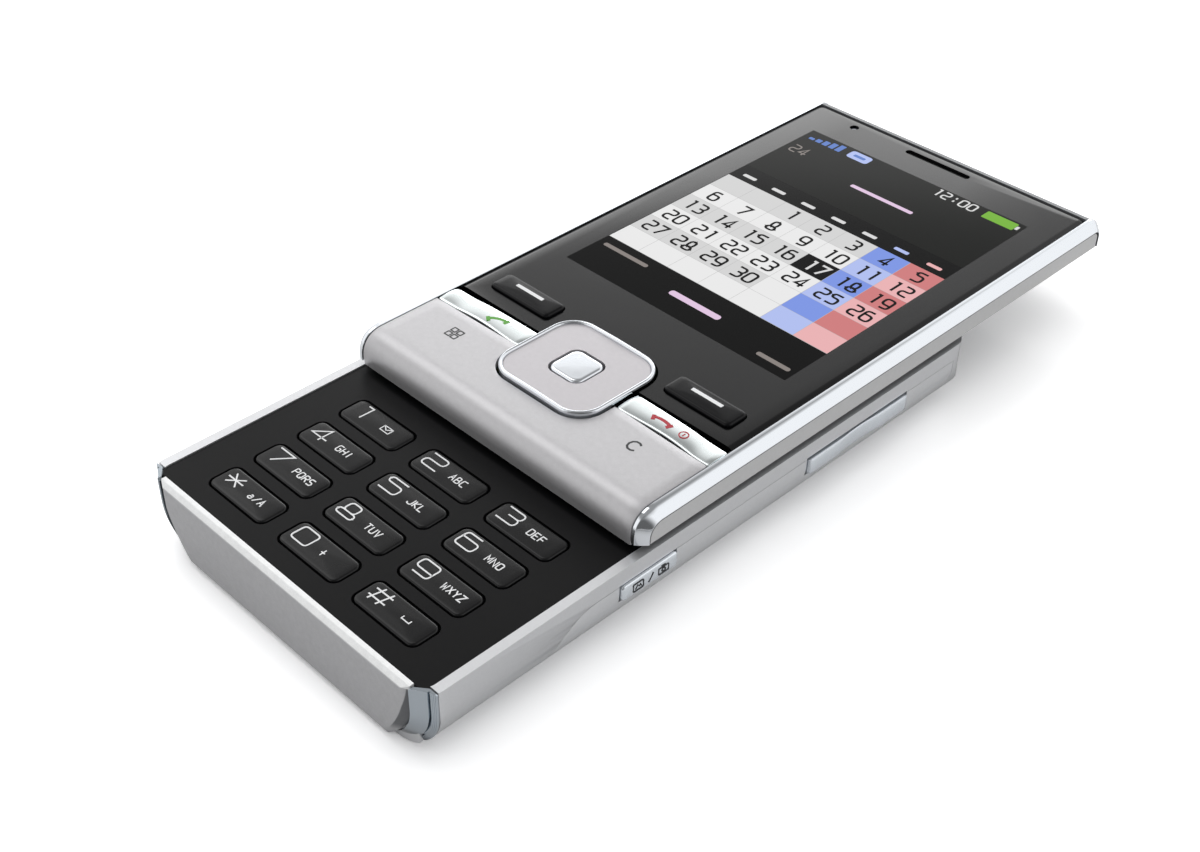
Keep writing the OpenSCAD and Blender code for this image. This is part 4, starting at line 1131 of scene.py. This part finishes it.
@dataclass
class NumberKeys:
    """The twelve keys under the slide, with their figures and letters.

    Attributes:
        pitch: Distance from key to key along X and Y.
        first: Middle of the first row.
        size: Width, length and corner radius of a key.
        low: Height of a key's foot.
        top: Height of the middle of its face.
        figure: Place and height of the figure, from the key's middle.
        letters: Place and height of the letters, from the key's middle.
        signs: The figures, by rows.
        words: The letters of each key. A key without any has a mark.
    """

    pitch: Pair = (12.6, 5.9)
    first: float = -19.9
    size: Triple = (9.8, 3.9, 0.9)
    low: float = 8.63
    top: float = 10.1
    figure: Triple = (-2.75, 0.3, 2.15)
    letters: Triple = (0.35, 0.05, 0.95)
    signs: str = "123456789*0#"
    words: tuple[str, ...] = ("", "ABC", "DEF", "GHI", "JKL", "MNO", "PQRS", "TUV", "WXYZ", "a/A", "+", "")

    def build(self) -> None:
        """Builds the twelve keys and their legends."""
        low, top = self.top - 0.12, self.top + 0.004
        wall = bend_over(self.low, self.top - 0.1, 0.3)
        for place, (sign, word) in enumerate(zip(self.signs, self.words)):
            name = "key_" + {"*": "star", "#": "hash"}.get(sign, sign)
            x, y = (place % 3 - 1) * self.pitch[0], self.first - (place // 3) * self.pitch[1]
            Shell().solid(domed(rings(*self.size, wall, (x, y)), 0.1)).piece(
                f"{name}_cap", KEY_BLACK, name, "key_black", (name,))
            legend = Shell()
            at = (x + self.figure[0], y + self.figure[1])
            write(legend, sign, at, self.figure[2], 0.18, low, top, 1.2, 0.3, slant=0.04)
            left = (x + self.letters[0], y + self.letters[1])
            if word:
                write(legend, word, left, self.letters[2], 0.15, low, top, 0.62, 0.28, Align.LEFT)
            else:
                kind = "letter" if place == 0 else "space"
                write_icon(legend, kind, (left[0] + 1.3, left[1]), self.letters[2], 0.13, low, top)
            legend.piece(f"{name}_legend", KEY_PRINT, name, "key_black", sharp=30.0)


# ------------------------------------------------------------------ upper half

@dataclass
class UpperHalf:
    """The display half: rails, window, panel, call and end keys and soft keys.

    Attributes:
        panel_x: Half width of the front panel.
        panel_t: Thickness of its shell.
        lip_z: Height of the panel's front lip.
        notch: Width, length and corner radius of the navigation key's hole.
        foot_z: Height of the rails' ends.
        window_x: Half width of the window.
        window_edge: Width of the window's sloping edge.
        soft: Middle of the right soft key.
        mark: Middle of the end key's handset, and how far its ring lies further out.
    """

    panel_x: float = 22.28
    panel_t: float = 0.9
    lip_z: float = 10.57
    notch: Triple = (16.2, 14.8, 3.9)
    foot_z: float = 11.0
    window_x: float = 22.3
    window_edge: float = 0.8
    soft: Pair = (14.6, 5.35)
    mark: Triple = (13.6, -0.42, 3.3)

    def panel(self) -> None:
        """Builds the front panel as its lengthwise section carried across the phone, with its marks.

        Outside, the section climbs from the lip round the nose to the rear edge, and inside it comes back at
        the shell's thickness. The rear edge follows the hole of the navigation key, straight and then round
        its corner, and beyond it the straight edge beside the call and end keys.
        """
        width, length, radius = self.notch
        half = width / 2
        ends = self.panel_x - np.array([0.0, 0.05, 0.18])
        bend = half - radius
        inner = np.concatenate([np.linspace(0.0, bend, 6), bend + radius * np.sin(quarter(11)[1:])])
        outer = np.concatenate([[half + 0.03], np.linspace(half + 0.8, ends[-1], 10)])
        right = np.concatenate([inner, outer, ends[:2][::-1]])
        x = np.concatenate([-right[:0:-1], right])
        shrink = np.interp(np.abs(x), ends[::-1], [0.0, 0.06, 0.2])
        reach = np.clip(np.abs(x) - bend, 0.0, radius)
        hole = S.nav_y - length / 2 + radius - np.sqrt(radius ** 2 - reach ** 2)
        straight = -2.3 - 0.022 * np.maximum(np.abs(x) - half, 0.0)
        rear = np.where(np.abs(x) <= half + 0.001, hole, straight)
        sheets = []
        for inset, last in ((shrink, rear - 0.1), (self.panel_t - shrink, rear)):
            nose = upper_outline(inset, self.lip_z)[:, :18]
            start = nose[:, -1:, 0]
            flat = xyz(start + (last[:, None] - start) * np.linspace(0.0, 1.0, 8)[1:], nose[:, -1:, 1])
            sheets.append(np.concatenate([nose, flat], axis=1))
        top = sheets[0][:, -1, 1]
        edge = np.stack([xyz(rear - 0.03, top - 0.03), xyz(rear, top - 0.1)], axis=1)
        section = np.concatenate([sheets[0], edge, sheets[1][:, ::-1]], axis=1)
        section[:, 0] += [0.08, 0.0]
        section = np.insert(section, 1, section[:, 0] + [0.0, 0.1], axis=1)
        Shell().solid(xyz(x[:, None], section[..., 0], section[..., 1])).piece(
            "front_panel_shell", PANEL, "front_panel", "panel_silver", ("front_panel",), 42.0)
        marks = Shell()
        low, top = S.glass_z - 0.06, S.glass_z + 0.006
        write_icon(marks, "squares", (-15.0, -6.0), 1.7, 0.2, low, top)
        write_icon(marks, "clear", (14.5, -5.8), 1.6, 0.27, low, top)
        marks.piece("panel_marks", DARK_MARK, "front_panel", "panel_silver")

    def rail(self, side: int) -> None:
        """Builds one chrome rail and below it a black strip, painted shade in its groove, carried along the
        upper half's outline.

        Across, the rail has a flat crown, then a broad slightly full chamfer down to the outer edge. Each
        point of a section follows the outline drawn in by that point's depth.

        Args:
            side: 1 for the right rail and -1 for the left.
        """
        word = SIDES[side]
        for name, finish, stands, sharp, across, deep in (
                ("chrome", CHROME, (f"side_rail_{word}",), 30.0,
                 [0.0, 0.0, 0.05, 0.40, 0.50, 0.75, 1.05, 1.35, 1.55, 1.6, 1.6, 1.5],
                 [1.25, 0.07, 0.0, 0.0, 0.035, 0.22, 0.50, 0.82, 1.07, 1.15, 1.22, 1.25]),
                # A black strip in the joint under the rail: painted shade of the groove there.
                ("seam", SLOT_BLACK, (), 38.0, [1.3, 1.3, 1.56, 1.56], [1.34, 1.21, 1.21, 1.34])):
            path = upper_outline(np.array(deep), self.foot_z)
            x = side * (S.rail_x + np.array(across))[:, None]
            Shell().solid(xyz(x, path[..., 0], path[..., 1]).transpose(1, 0, 2)).piece(
                f"side_{name}_{word}", finish, "upper_half", "chrome_trim", stands, sharp)

    def window(self) -> None:
        """Builds the window: its outline with the navigation key's notch, a sloping edge and four holes.

        The outline runs along the front edge and round the notch, up the right side, round the rear corners
        and down the left side. Each point draws in by the width of the sloping edge, but for the front edge.
        """
        width, length, radius = self.notch
        wx, front, rear, r = self.window_x, S.glass_front_y, S.glass_rear_y, 0.6
        turn = xyz(np.cos(quarter(8)), np.sin(quarter(8)))
        notch = turn * radius + [width / 2 - radius, S.nav_y + length / 2 - radius]
        corner = turn * r + [wx - r, rear - r]
        outline = np.concatenate([
            [[-width / 2, front]], notch * MIRROR, notch[::-1], [[width / 2, front]],
            [[wx, front]], corner, corner[::-1] * MIRROR, [[-wx, front]]])
        draw = np.zeros_like(outline)
        sides = np.arange(len(outline)) >= 2 * len(turn) + 2
        draw[sides, 0] = -np.sign(outline[sides, 0])
        draw[sides & (outline[:, 1] > rear - r - 0.001), 1] = -1.0
        steps = np.array([[0.0, S.window_z], [0.0, S.glass_z - 0.34], [0.12, S.glass_z - 0.24],
                          [0.7, S.glass_z - 0.03], [1.0, S.glass_z]])
        wall = outline[None] + draw[None] * self.window_edge * steps[:, :1, None]
        shell = Shell()
        shell.grid(xyz(wall[..., 0], wall[..., 1], steps[:, 1:]))
        soft_x, soft_y = self.soft
        holes = [loop(10.3, 3.7, 0.85, (-soft_x, soft_y)), loop(10.3, 3.7, 0.85, (soft_x, soft_y)),
                 loop(10.6, 1.1, 0.54, S.ear), loop(1.3, 1.3, 0.64, S.call_lens)]
        for height, edge in ((S.window_z, wall[0]), (S.glass_z, wall[-1])):
            shell.sheet([edge, *holes], height)
        for hole in holes:
            shell.grid(xyz(*hole.T, [[S.window_z], [S.glass_z]]))
        shell.piece("window_glass", GLASS, "upper_half", "window", ("display_window",), 20.0)

    def ear(self) -> None:
        """Builds the earpiece, a bar of mesh sunk in its slot, and the call camera's round lens."""
        levels = [[0.0, 13.0], [0.0, 14.25], [0.1, 14.34], [0.3, 14.36]]
        Shell().solid(rings(10.4, 0.9, 0.44, levels, S.ear)).piece(
            "earpiece_mesh", SLOT_BLACK, "upper_half", "dark_plastic", ("earpiece",))
        Shell().solid(rings(1.2, 1.2, 0.6, crown(11.0, 14.45, 0.12, 0.06, 0.6, 3), S.call_lens, 6)).piece(
            "call_lens", CALL_OPTIC, "upper_half", "optics", ("call_camera",))

    def band_key(self, side: int) -> None:
        """Builds the call or the end key: a chrome strip, full across its length, with its marks.

        At each place along X the section is a closed line in (Y, Z): up the front wall, round the edge, over
        the full face and down the rear wall. Front and rear edges draw together towards the outer end, and
        the face dips in a bell curve before it. A black copy of the same outline, just inside and below,
        closes the gaps below with painted shade.

        Args:
            side: 1 for the end key and -1 for the call key.
        """
        name = "end_key" if side > 0 else "call_key"
        near, far = S.nav_w / 2 + 0.42, S.rail_x - 0.15
        tip = np.array([0.0, 0.05, 0.15])
        x = np.concatenate([near + tip, np.linspace(near + 0.8, far - 0.8, 24), far - tip[::-1]])
        shrink = np.interp(x, x[[0, 1, 2, -3, -2, -1]], [0.14, 0.05, 0.0, 0.0, 0.05, 0.14])
        share = (x - near) / (far - near)
        front = S.band_front_y - 0.14 - 0.2 * share ** 2 + 0.3 * np.sin(np.pi * share) ** 2
        rear = S.band_rear_y - 0.5 * share ** 2
        t = np.array([0.0, 0.0, 0.006, 0.02, 0.05, 0.2, 0.35, 0.5, 0.65, 0.8, 0.95, 0.98, 0.994, 1.0, 1.0])
        off = np.abs(2 * t - 1)
        drop = 0.16 * off ** 2 + np.interp(off, [0.9, 0.96, 0.988, 1.0], [0.0, 0.01, 0.04, 0.12])
        dip = 0.1 * np.exp(-((share - 0.8) / 0.13) ** 2)
        # The second piece is painted shade: a black copy under the key that darkens the gaps round it.
        for foot, inset, finish, label, stands in (
                (S.glass_z - 0.55, 0.0, CHROME_KEY, "face", (name,)), (13.1, 0.03, SLOT_BLACK, "skirt", ())):
            y = (front + shrink + inset)[:, None] + (rear - front - 2 * shrink - 2 * inset)[:, None] * t
            z = S.glass_z - drop - (dip + shrink * 0.5)[:, None] - 7 * inset
            z[:, [0, -1]] = foot
            Shell().solid(xyz(side * x[:, None], y, z)).piece(
                f"{name}_{label}", finish, name, "chrome_keys", stands, 50.0)
        self.handset(side, name)

    def handset(self, side: int, name: str) -> None:
        """Builds a band key's handset, tilted on the call key, and the end key's ring beside it.

        Args:
            side: 1 for the end key and -1 for the call key.
            name: The key's body.
        """
        mark, low, top = Shell(), S.glass_z - 0.3, S.glass_z + 0.005
        middle = np.array([side * self.mark[0], self.mark[1]])
        turn = np.linspace(-1.1, 1.1, 15)
        arc = xyz(1.5 * np.sin(turn), 0.62 * np.cos(turn)) - [0.0, 0.45]
        tilt = math.radians(24.0 if side < 0 else 0.0)
        spin = np.array([[math.cos(tilt), math.sin(tilt)], [-math.sin(tilt), math.cos(tilt)]])
        ribbon(mark, arc @ spin + middle, 0.44, low, top)
        for end in (arc[[0, 2]], arc[[-3, -1]]):
            reach = end[1] - end[0]
            cup = end + [reach * -0.25, reach * 0.25] - [0.0, 0.08]
            ribbon(mark, cup @ spin + middle, 0.86, low, top + 0.001)
        if side > 0:
            ring_x = middle[0] + self.mark[2]
            ribbon(mark, loop(1.1, 1.1, 0.55, (ring_x, -0.5))[::2], 0.15, low, top, True)
            ribbon(mark, np.array([[ring_x, -0.25], [ring_x, -0.75]]), 0.15, low, top)
        mark.piece(f"{name}_mark", RED_MARK if side > 0 else GREEN_MARK, name, "chrome_keys")

    def soft_key(self, side: int) -> None:
        """Builds one soft key and the pale bar on it.

        Args:
            side: 1 for the right key and -1 for the left.
        """
        name, bar = f"soft_key_{SIDES[side]}", Shell()
        x, y = side * self.soft[0], self.soft[1]
        Shell().solid(domed(rings(10.0, 3.4, 0.7, bend_over(13.05, 15.2, 0.34), (x, y)), 0.1)).piece(
            f"{name}_cap", SOFT_BLACK, name, "key_black", (name,))
        tile(bar, (x - 2.3, y + 0.1, x + 2.3, y + 0.62), 15.1, 15.306, 0.08)
        bar.piece(f"{name}_bar", KEY_PRINT, name, "key_black")

    def build(self) -> None:
        """Builds the half but for the navigation key and the picture."""
        self.panel()
        self.window()
        self.ear()
        for side in SIDES:
            self.rail(side)
            self.band_key(side)
            self.soft_key(side)


# ------------------------------------------------------------------ navigation key

@dataclass
class NavigationKey:
    """The five-way key: its satin plate, the chrome ring round it and the select key in its middle.

    Attributes:
        ring_t: Width of the chrome ring.
        foot_z: Height of the ring's foot.
        ring_z: Height of the ring's top.
        lift: How far the ring rises at the middle of its front and rear, and the width of that rise.
        select: Size and corner radius of the select key.
        select_z: Height of its foot and of the middle of its face.
    """

    ring_t: float = 0.55
    foot_z: float = 13.55
    ring_z: float = 15.3
    lift: Pair = (0.1, 3.4)
    select: Pair = (5.0, 1.2)
    select_z: Pair = (13.2, 15.2)

    def ring(self) -> None:
        """Builds the ring as its closed section carried round the rounded square.

        Points near the top rise towards the middle of the front and the rear, by the lift times a bell
        curve of X.
        """
        t, top = self.ring_t, self.ring_z
        levels = [[0.0, self.foot_z], [0.0, top - 0.42], [0.03, top - 0.24], [0.1, top - 0.09],
                  [0.2, top - 0.01], [0.28, top], [0.36, top - 0.02], [0.45, top - 0.08], [0.52, top - 0.18],
                  [t, top - 0.34], [t, self.foot_z]]
        corners = rings(S.nav_w, S.nav_l, S.nav_round, levels, (0.0, S.nav_y), 12)[:, :, None]
        share = np.linspace(0.0, 1.0, 5)[:-1, None]
        points = corners * (1 - share) + np.roll(corners, -1, axis=1) * share
        points = points.reshape(len(levels), -1, 3)
        high, wide = self.lift
        ends = (np.abs(points[..., 1] - S.nav_y) > 5.5) * (points[..., 2] > 14.5)
        points[..., 2] += high * np.exp(-(points[..., 0] / wide) ** 2) * ends
        shell = Shell()
        shell.grid(points, round_rows=True)
        shell.piece("nav_ring_chrome", CHROME, "nav_pad", "chrome_trim", ("nav_ring",), 60.0)

    def build(self) -> None:
        """Builds the plate, the ring and the select key."""
        carried("nav_pad", "nav_pad_face", PAD, "nav_pad", 0.14)
        self.ring()
        size, radius = self.select
        foot, top = self.select_z
        cap = rings(size, size, radius, bend_over(foot, top - 0.09, 0.4), (0.0, S.nav_y), 12)
        Shell().solid(domed(cap, 0.09, 12)).piece(
            "select_key_cap", CHROME, "select_key", "chrome_keys", ("select_key",), 60.0)


# ------------------------------------------------------------------ screen

class Tone(Enum):
    """The colours of the picture."""

    GROUND = "080808"
    HEADING = "161715"
    LINE = "b9b9b9"
    PALE = "ececec"
    GREY = "d6d6d6"
    BLUE = "7f98e6"
    SKY = "b3c1f2"
    RED = "d17f80"
    ROSE = "ecb4b6"
    INK = "111111"
    DARK = "0a0a0b"
    SIGNAL = "5f80c8"
    WHITE = "dcdcdc"
    LILAC = "e4c8e4"
    STONE = "8b8480"
    GREEN = "78b63c"


@dataclass
class Screen:
    """The lit picture: a month of plain numbers between a dark heading and a dark footer.

    Attributes:
        half_x: Half width of the picture.
        low_y: Front edge of the picture.
        high_y: Rear edge of the picture.
        grid_x: Left edge of the table.
        grid_y: Rear edge of the table.
        cell: Width and length of a cell.
        line: Width of the lines between the cells.
        first: Column of the first day, counted from 0.
        days: How many days the month has.
        marked: The day in the dark cell.
        lift: Height of one level of the picture.
        layers: The shell of each colour.
    """

    half_x: float = 18.0
    low_y: float = 15.04
    high_y: float = 63.26
    grid_x: float = -17.9
    grid_y: float = 45.3
    cell: Pair = (5.12, 3.8)
    line: float = 0.06
    first: int = 2
    days: int = 30
    marked: int = 17
    lift: float = 0.006
    layers: dict[Tone, Shell] = field(default_factory=dict)

    def layer(self, tone: Tone, level: int) -> tuple[Shell, float, float]:
        """Returns the shell that gathers one colour, with the underside and top of one level."""
        top = S.glass_z + self.lift * level
        return self.layers.setdefault(tone, Shell()), top - self.lift * 0.9, top

    def box(self, tone: Tone, box: Sequence[float], level: int = 3, radius: float = 0.02) -> None:
        """Adds a flat tile of one colour at a level of the picture."""
        shell, low, top = self.layer(tone, level)
        tile(shell, box, low, top, radius)

    def text(self, tone: Tone, words: str, at: Pair, height: float, stroke: float,
             level: int = 3, align: Align = Align.MIDDLE) -> None:
        """Adds a line of figures of one colour at a level of the picture."""
        shell, low, top = self.layer(tone, level)
        write(shell, words, at, height, stroke, low, top, 0.58, 0.24, align)

    def table(self) -> None:
        """Lays the cells: grey and pale rows by turns, blue and red columns at the right."""
        wide, long = self.cell
        self.box(Tone.LINE, (self.grid_x, self.grid_y - 6 * long, self.half_x, self.grid_y), 2)
        for row, column in np.ndindex(6, 7):
            left, rear = self.grid_x + column * wide, self.grid_y - row * long
            shades = {5: (Tone.BLUE, Tone.SKY), 6: (Tone.RED, Tone.ROSE)}.get(column, (Tone.GREY, Tone.PALE))
            day = row * 7 + column - self.first + 1
            named = 1 <= day <= self.days
            shade = shades[row % 2] if named or column > 4 else (Tone.GREY, Tone.PALE)[row > 0]
            ink = Tone.INK
            if day == self.marked:
                shade, ink = Tone.DARK, Tone.WHITE
            right = self.half_x if column == 6 else left + wide - self.line
            self.box(shade, (left, rear - long + self.line, right, rear))
            if named:
                self.text(ink, str(day), (left + wide / 2 + 0.2, rear - long / 2 - 0.05), 2.2, 0.36, 4)

    def build(self) -> None:
        """Lays the grounds, the table, the heading's marks and the footer's bars, then makes the pieces."""
        self.box(Tone.GROUND, (-self.half_x, self.low_y, self.half_x, self.high_y), 1)
        self.box(Tone.HEADING, (-self.half_x, self.grid_y + 3.7, self.half_x, self.high_y), 2)
        self.table()
        for column in range(7):
            middle = self.grid_x + (column + 0.5) * self.cell[0]
            shade = {5: Tone.SKY, 6: Tone.ROSE}.get(column, Tone.WHITE)
            self.box(shade, (middle - 1.1, self.grid_y + 1.1, middle + 1.1, self.grid_y + 1.75), 3, 0.2)
        for bar in range(5):
            left = -17.0 + bar * 1.15
            self.box(Tone.SIGNAL, (left, 60.9, left + 0.85, 61.5 + bar * 0.32), 3, 0.1)
        self.box(Tone.SKY, (-10.3, 60.8, -6.8, 62.8), 3, 0.5)
        self.box(Tone.SIGNAL, (-9.5, 61.5, -7.6, 62.1), 4, 0.15)
        self.text(Tone.WHITE, "12:00", (10.7, 62.0), 1.7, 0.26, align=Align.RIGHT)
        self.box(Tone.GREEN, (12.2, 61.0, 17.0, 62.9), 3, 0.2)
        self.box(Tone.WHITE, (17.05, 61.5, 17.5, 62.4), 3, 0.1)
        self.text(Tone.STONE, "24", (-15.6, 57.4), 1.9, 0.24)
        self.box(Tone.LILAC, (-4.6, 54.7, 5.6, 55.4), 3, 0.25)
        self.box(Tone.STONE, (-17.0, 20.4, -9.4, 21.1), 3, 0.3)
        self.box(Tone.LILAC, (-3.6, 18.3, 4.6, 19.3), 3, 0.4)
        self.box(Tone.STONE, (12.2, 16.5, 17.2, 17.2), 3, 0.3)
        for tone, shell in self.layers.items():
            name = f"picture_{tone.name.lower()}"
            shell.piece(name, Lit(name, tone.value, 0.12, 0.0, 6000.0, 0.1), "upper_half", "display")


# ------------------------------------------------------------------ what keeps its shape

@dataclass
class Inside:
    """The nodes whose shape stays as it is.

    Attributes:
        finishes: Each node's finish.
    """

    finishes: dict[str, Finish] = field(default_factory=lambda: {
        "upper_frame": FRAME, "side_plate_left": SIDE, "side_plate_right": SIDE, "display_module": SLOT_BLACK,
        "battery": WRAP, "main_board": BOARD, "panel_board": BOARD, "shield_cans": STEEL,
        "slide_rail_plate": STEEL, "slide_runner": STEEL, "nav_gimbal": STEEL, "sim_holder": STEEL,
        "card_slot": STEEL, "slide_springs": SPRING, "chassis_screws": SCREW, "runner_screws": SCREW,
        "keypad_domes": DOME, "keypad_mat": SILICONE, "flex_cable": FILM, "side_switches": FILM,
        "antenna": MOULDED, "sounder": MOULDED, "system_connector": MOULDED, "rear_camera": REAR_OPTIC,
        "photo_light": LIGHT_LENS, "vibration_motor": MOTOR})

    def build(self) -> None:
        """Puts the finishes on."""
        for name, finish in self.finishes.items():
            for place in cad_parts[name].material_slots:
                place.material = finish.material()
            LOG.info("finish %s on %s", finish.name, name)


# ------------------------------------------------------------------ studio

@dataclass(frozen=True)
class Lamp:
    """A soft rectangular lamp that looks at the phone.

    Attributes:
        name: The lamp's name.
        at: Its place in metres.
        size: Its width and height in metres.
        power: Its power in watts.
        tint: Its colour.
        mirrored: Whether gloss shows it.
    """

    name: str
    at: Triple
    size: Pair
    power: float
    tint: Triple = (1.0, 1.0, 1.0)
    mirrored: bool = False

    def build(self) -> None:
        """Adds the lamp to the scene."""
        data = bpy.data.lights.new(self.name, "AREA")
        data.shape, data.size, data.size_y = "RECTANGLE", *self.size
        data.energy, data.color = self.power, self.tint
        lamp = placed(self.name, data)
        lamp.location = self.at
        ahead = Vector((0.0, 0.01, 0.01)) - Vector(self.at)
        lamp.rotation_euler = ahead.to_track_quat("-Z", "Y").to_euler()
        lamp.visible_glossy = self.mirrored


@dataclass
class Studio:
    """White floor, soft lamps and the camera of the photo.

    Attributes:
        eye: The camera's place in millimetres.
        turns: The camera's yaw, pitch and roll in degrees.
        lens: Focal length in millimetres on a frame of the given width.
        frame_w: Width of that frame.
        reach: Half width of the floor in metres.
        lit: Grey of the floor as it lights the phone.
        seen: Grey of the floor as the camera sees it.
        glow: Distances in metres between which the floor gets its own light, and that light at both.
        gloss: Distances between which the floor loses its gloss, and its specular level at both.
        fill: Strength of the world on matt surfaces.
        sky: Sine of the elevation up to which gloss sees white, of that from which it sees the dim sky, and
            the sky's strength.
        shade: How far a direction points to the front right, from where to where gloss sees the world darken,
            and its strengths at both.
        lamps: The lamps.
    """

    eye: Triple = (112.086, -108.052, 128.421)
    turns: Triple = (45.16, -38.16, 0.66)
    lens: float = 50.387
    frame_w: float = 36.0
    reach: float = 4.0
    lit: tuple[float, ...] = (0.6, 0.6, 0.603, 1.0)
    seen: tuple[float, ...] = (1.3, 1.3, 1.305, 1.0)
    glow: tuple[float, ...] = (0.1, 0.5, 0.04, 0.4)
    gloss: tuple[float, ...] = (0.12, 0.4, 0.25, 0.0)
    fill: float = 0.62
    sky: Triple = (0.58, 0.80, 0.3)
    shade: tuple[float, ...] = (0.45, 0.85, 1.0, 0.12)
    lamps: tuple[Lamp, ...] = (
        Lamp("overhead", (0.05, 0.05, 0.7), (0.7, 0.7), 1.4),
        Lamp("far_left", (-0.50, 0.67, 0.33), (0.7, 0.24), 1.15, mirrored=True),
        Lamp("left_high", (-0.40, 0.0, 0.6), (0.36, 0.5), 0.9, mirrored=True),
        Lamp("right", (0.6, -0.2, 0.3), (0.5, 0.4), 0.6, (0.97, 0.985, 1.0)))

    def camera(self) -> None:
        """Sets the camera from its yaw, pitch and roll."""
        yaw, pitch, roll = (math.radians(angle) for angle in self.turns)
        ahead = Vector((-math.sin(yaw) * math.cos(pitch), math.cos(yaw) * math.cos(pitch), math.sin(pitch)))
        right = Vector((math.cos(yaw), math.sin(yaw), 0.0))
        up = right.cross(ahead)
        across = math.cos(roll) * right + math.sin(roll) * up
        over = -math.sin(roll) * right + math.cos(roll) * up
        data = bpy.data.cameras.new("photo_camera")
        data.sensor_fit, data.sensor_width, data.lens = "HORIZONTAL", self.frame_w, self.lens
        data.clip_start = 0.01
        camera = placed("photo_camera", data)
        turn = Matrix((across, over, -ahead)).transposed().to_4x4()
        camera.matrix_world = Matrix.Translation(Vector(self.eye) * MM) @ turn
        bpy.context.scene.camera = camera

    def floor(self) -> None:
        """Lays the white floor, with a faint gloss that mirrors the phone.

        The camera sees it whiter than it lights the phone, and whiter still far from the phone.
        """
        mesh = bpy.data.meshes.new("studio_floor")
        corners = square(-self.reach, -self.reach, self.reach, self.reach)
        mesh.from_pydata([(x, y, -0.00005) for x, y in corners], [], [(0, 1, 2, 3)])
        made = bpy.data.materials.new("studio_floor_white")
        made.use_nodes = True
        wire = Wiring(made.node_tree)
        seen = wire.node("LightPath").outputs["Is Camera Ray"]
        away = wire.vector("LENGTH", wire.place())
        wire.feed(made.node_tree.nodes["Principled BSDF"], {
            "Roughness": 0.1, "Base Color": wire.blend(seen, self.lit, self.seen), "Emission Color": WHITE,
            "Emission Strength": wire.maths("MULTIPLY", seen, wire.ramp(away, *self.glow)),
            "Specular IOR Level": wire.ramp(away, *self.gloss, "LINEAR")})
        mesh.materials.append(made)
        placed("studio_floor", mesh)

    def world(self) -> None:
        """Makes the world white to the camera, to gloss and to glass, and softer to matt surfaces."""
        world = bpy.data.worlds.new("studio_world")
        world.use_nodes = True
        bpy.context.scene.world = world
        wire = Wiring(world.node_tree)
        path = wire.node("LightPath").outputs
        shiny = wire.maths("MAXIMUM", path["Is Glossy Ray"], path["Is Transmission Ray"])
        toward = wire.node("TexCoord").outputs["Generated"]
        fade = wire.node("ValToRGB", {0: wire.part(toward, "Z")})
        start, end, dim = self.sky
        for stop, place, level in zip(fade.color_ramp.elements, (start, end), (1.0, dim)):
            stop.position, stop.color = place, (level, level, level, 1.0)
        fade.color_ramp.interpolation = "EASE"
        front = wire.vector("DOT_PRODUCT", toward, (0.707, -0.707, 0.0))
        gloss = wire.vector("SCALE", fade.outputs[0], wire.ramp(front, *self.shade))
        soft = wire.blend(shiny, (self.fill, self.fill, self.fill, 1.0), gloss)
        wire.feed(world.node_tree.nodes["Background"], {
            "Color": WHITE, "Strength": wire.maths("MAXIMUM", soft, path["Is Camera Ray"])})

    def build(self) -> None:
        """Sets up the view, the floor, the world and the lamps."""
        bpy.context.scene.view_settings.view_transform = "Standard"
        self.camera()
        self.floor()
        self.world()
        for lamp in self.lamps:
            lamp.build()


# ------------------------------------------------------------------ the scene

def main() -> None:
    """Builds every part of the scene in order."""
    logging.basicConfig(level=logging.INFO, format="%(name)s: %(message)s")
    for step in (Inside(), LowerHalf(), NumberKeys(), UpperHalf(), NavigationKey(), Screen(), Studio()):
        step.build()
        LOG.info("%s built", type(step).__name__)


if __name__ == "__main__":
    main()
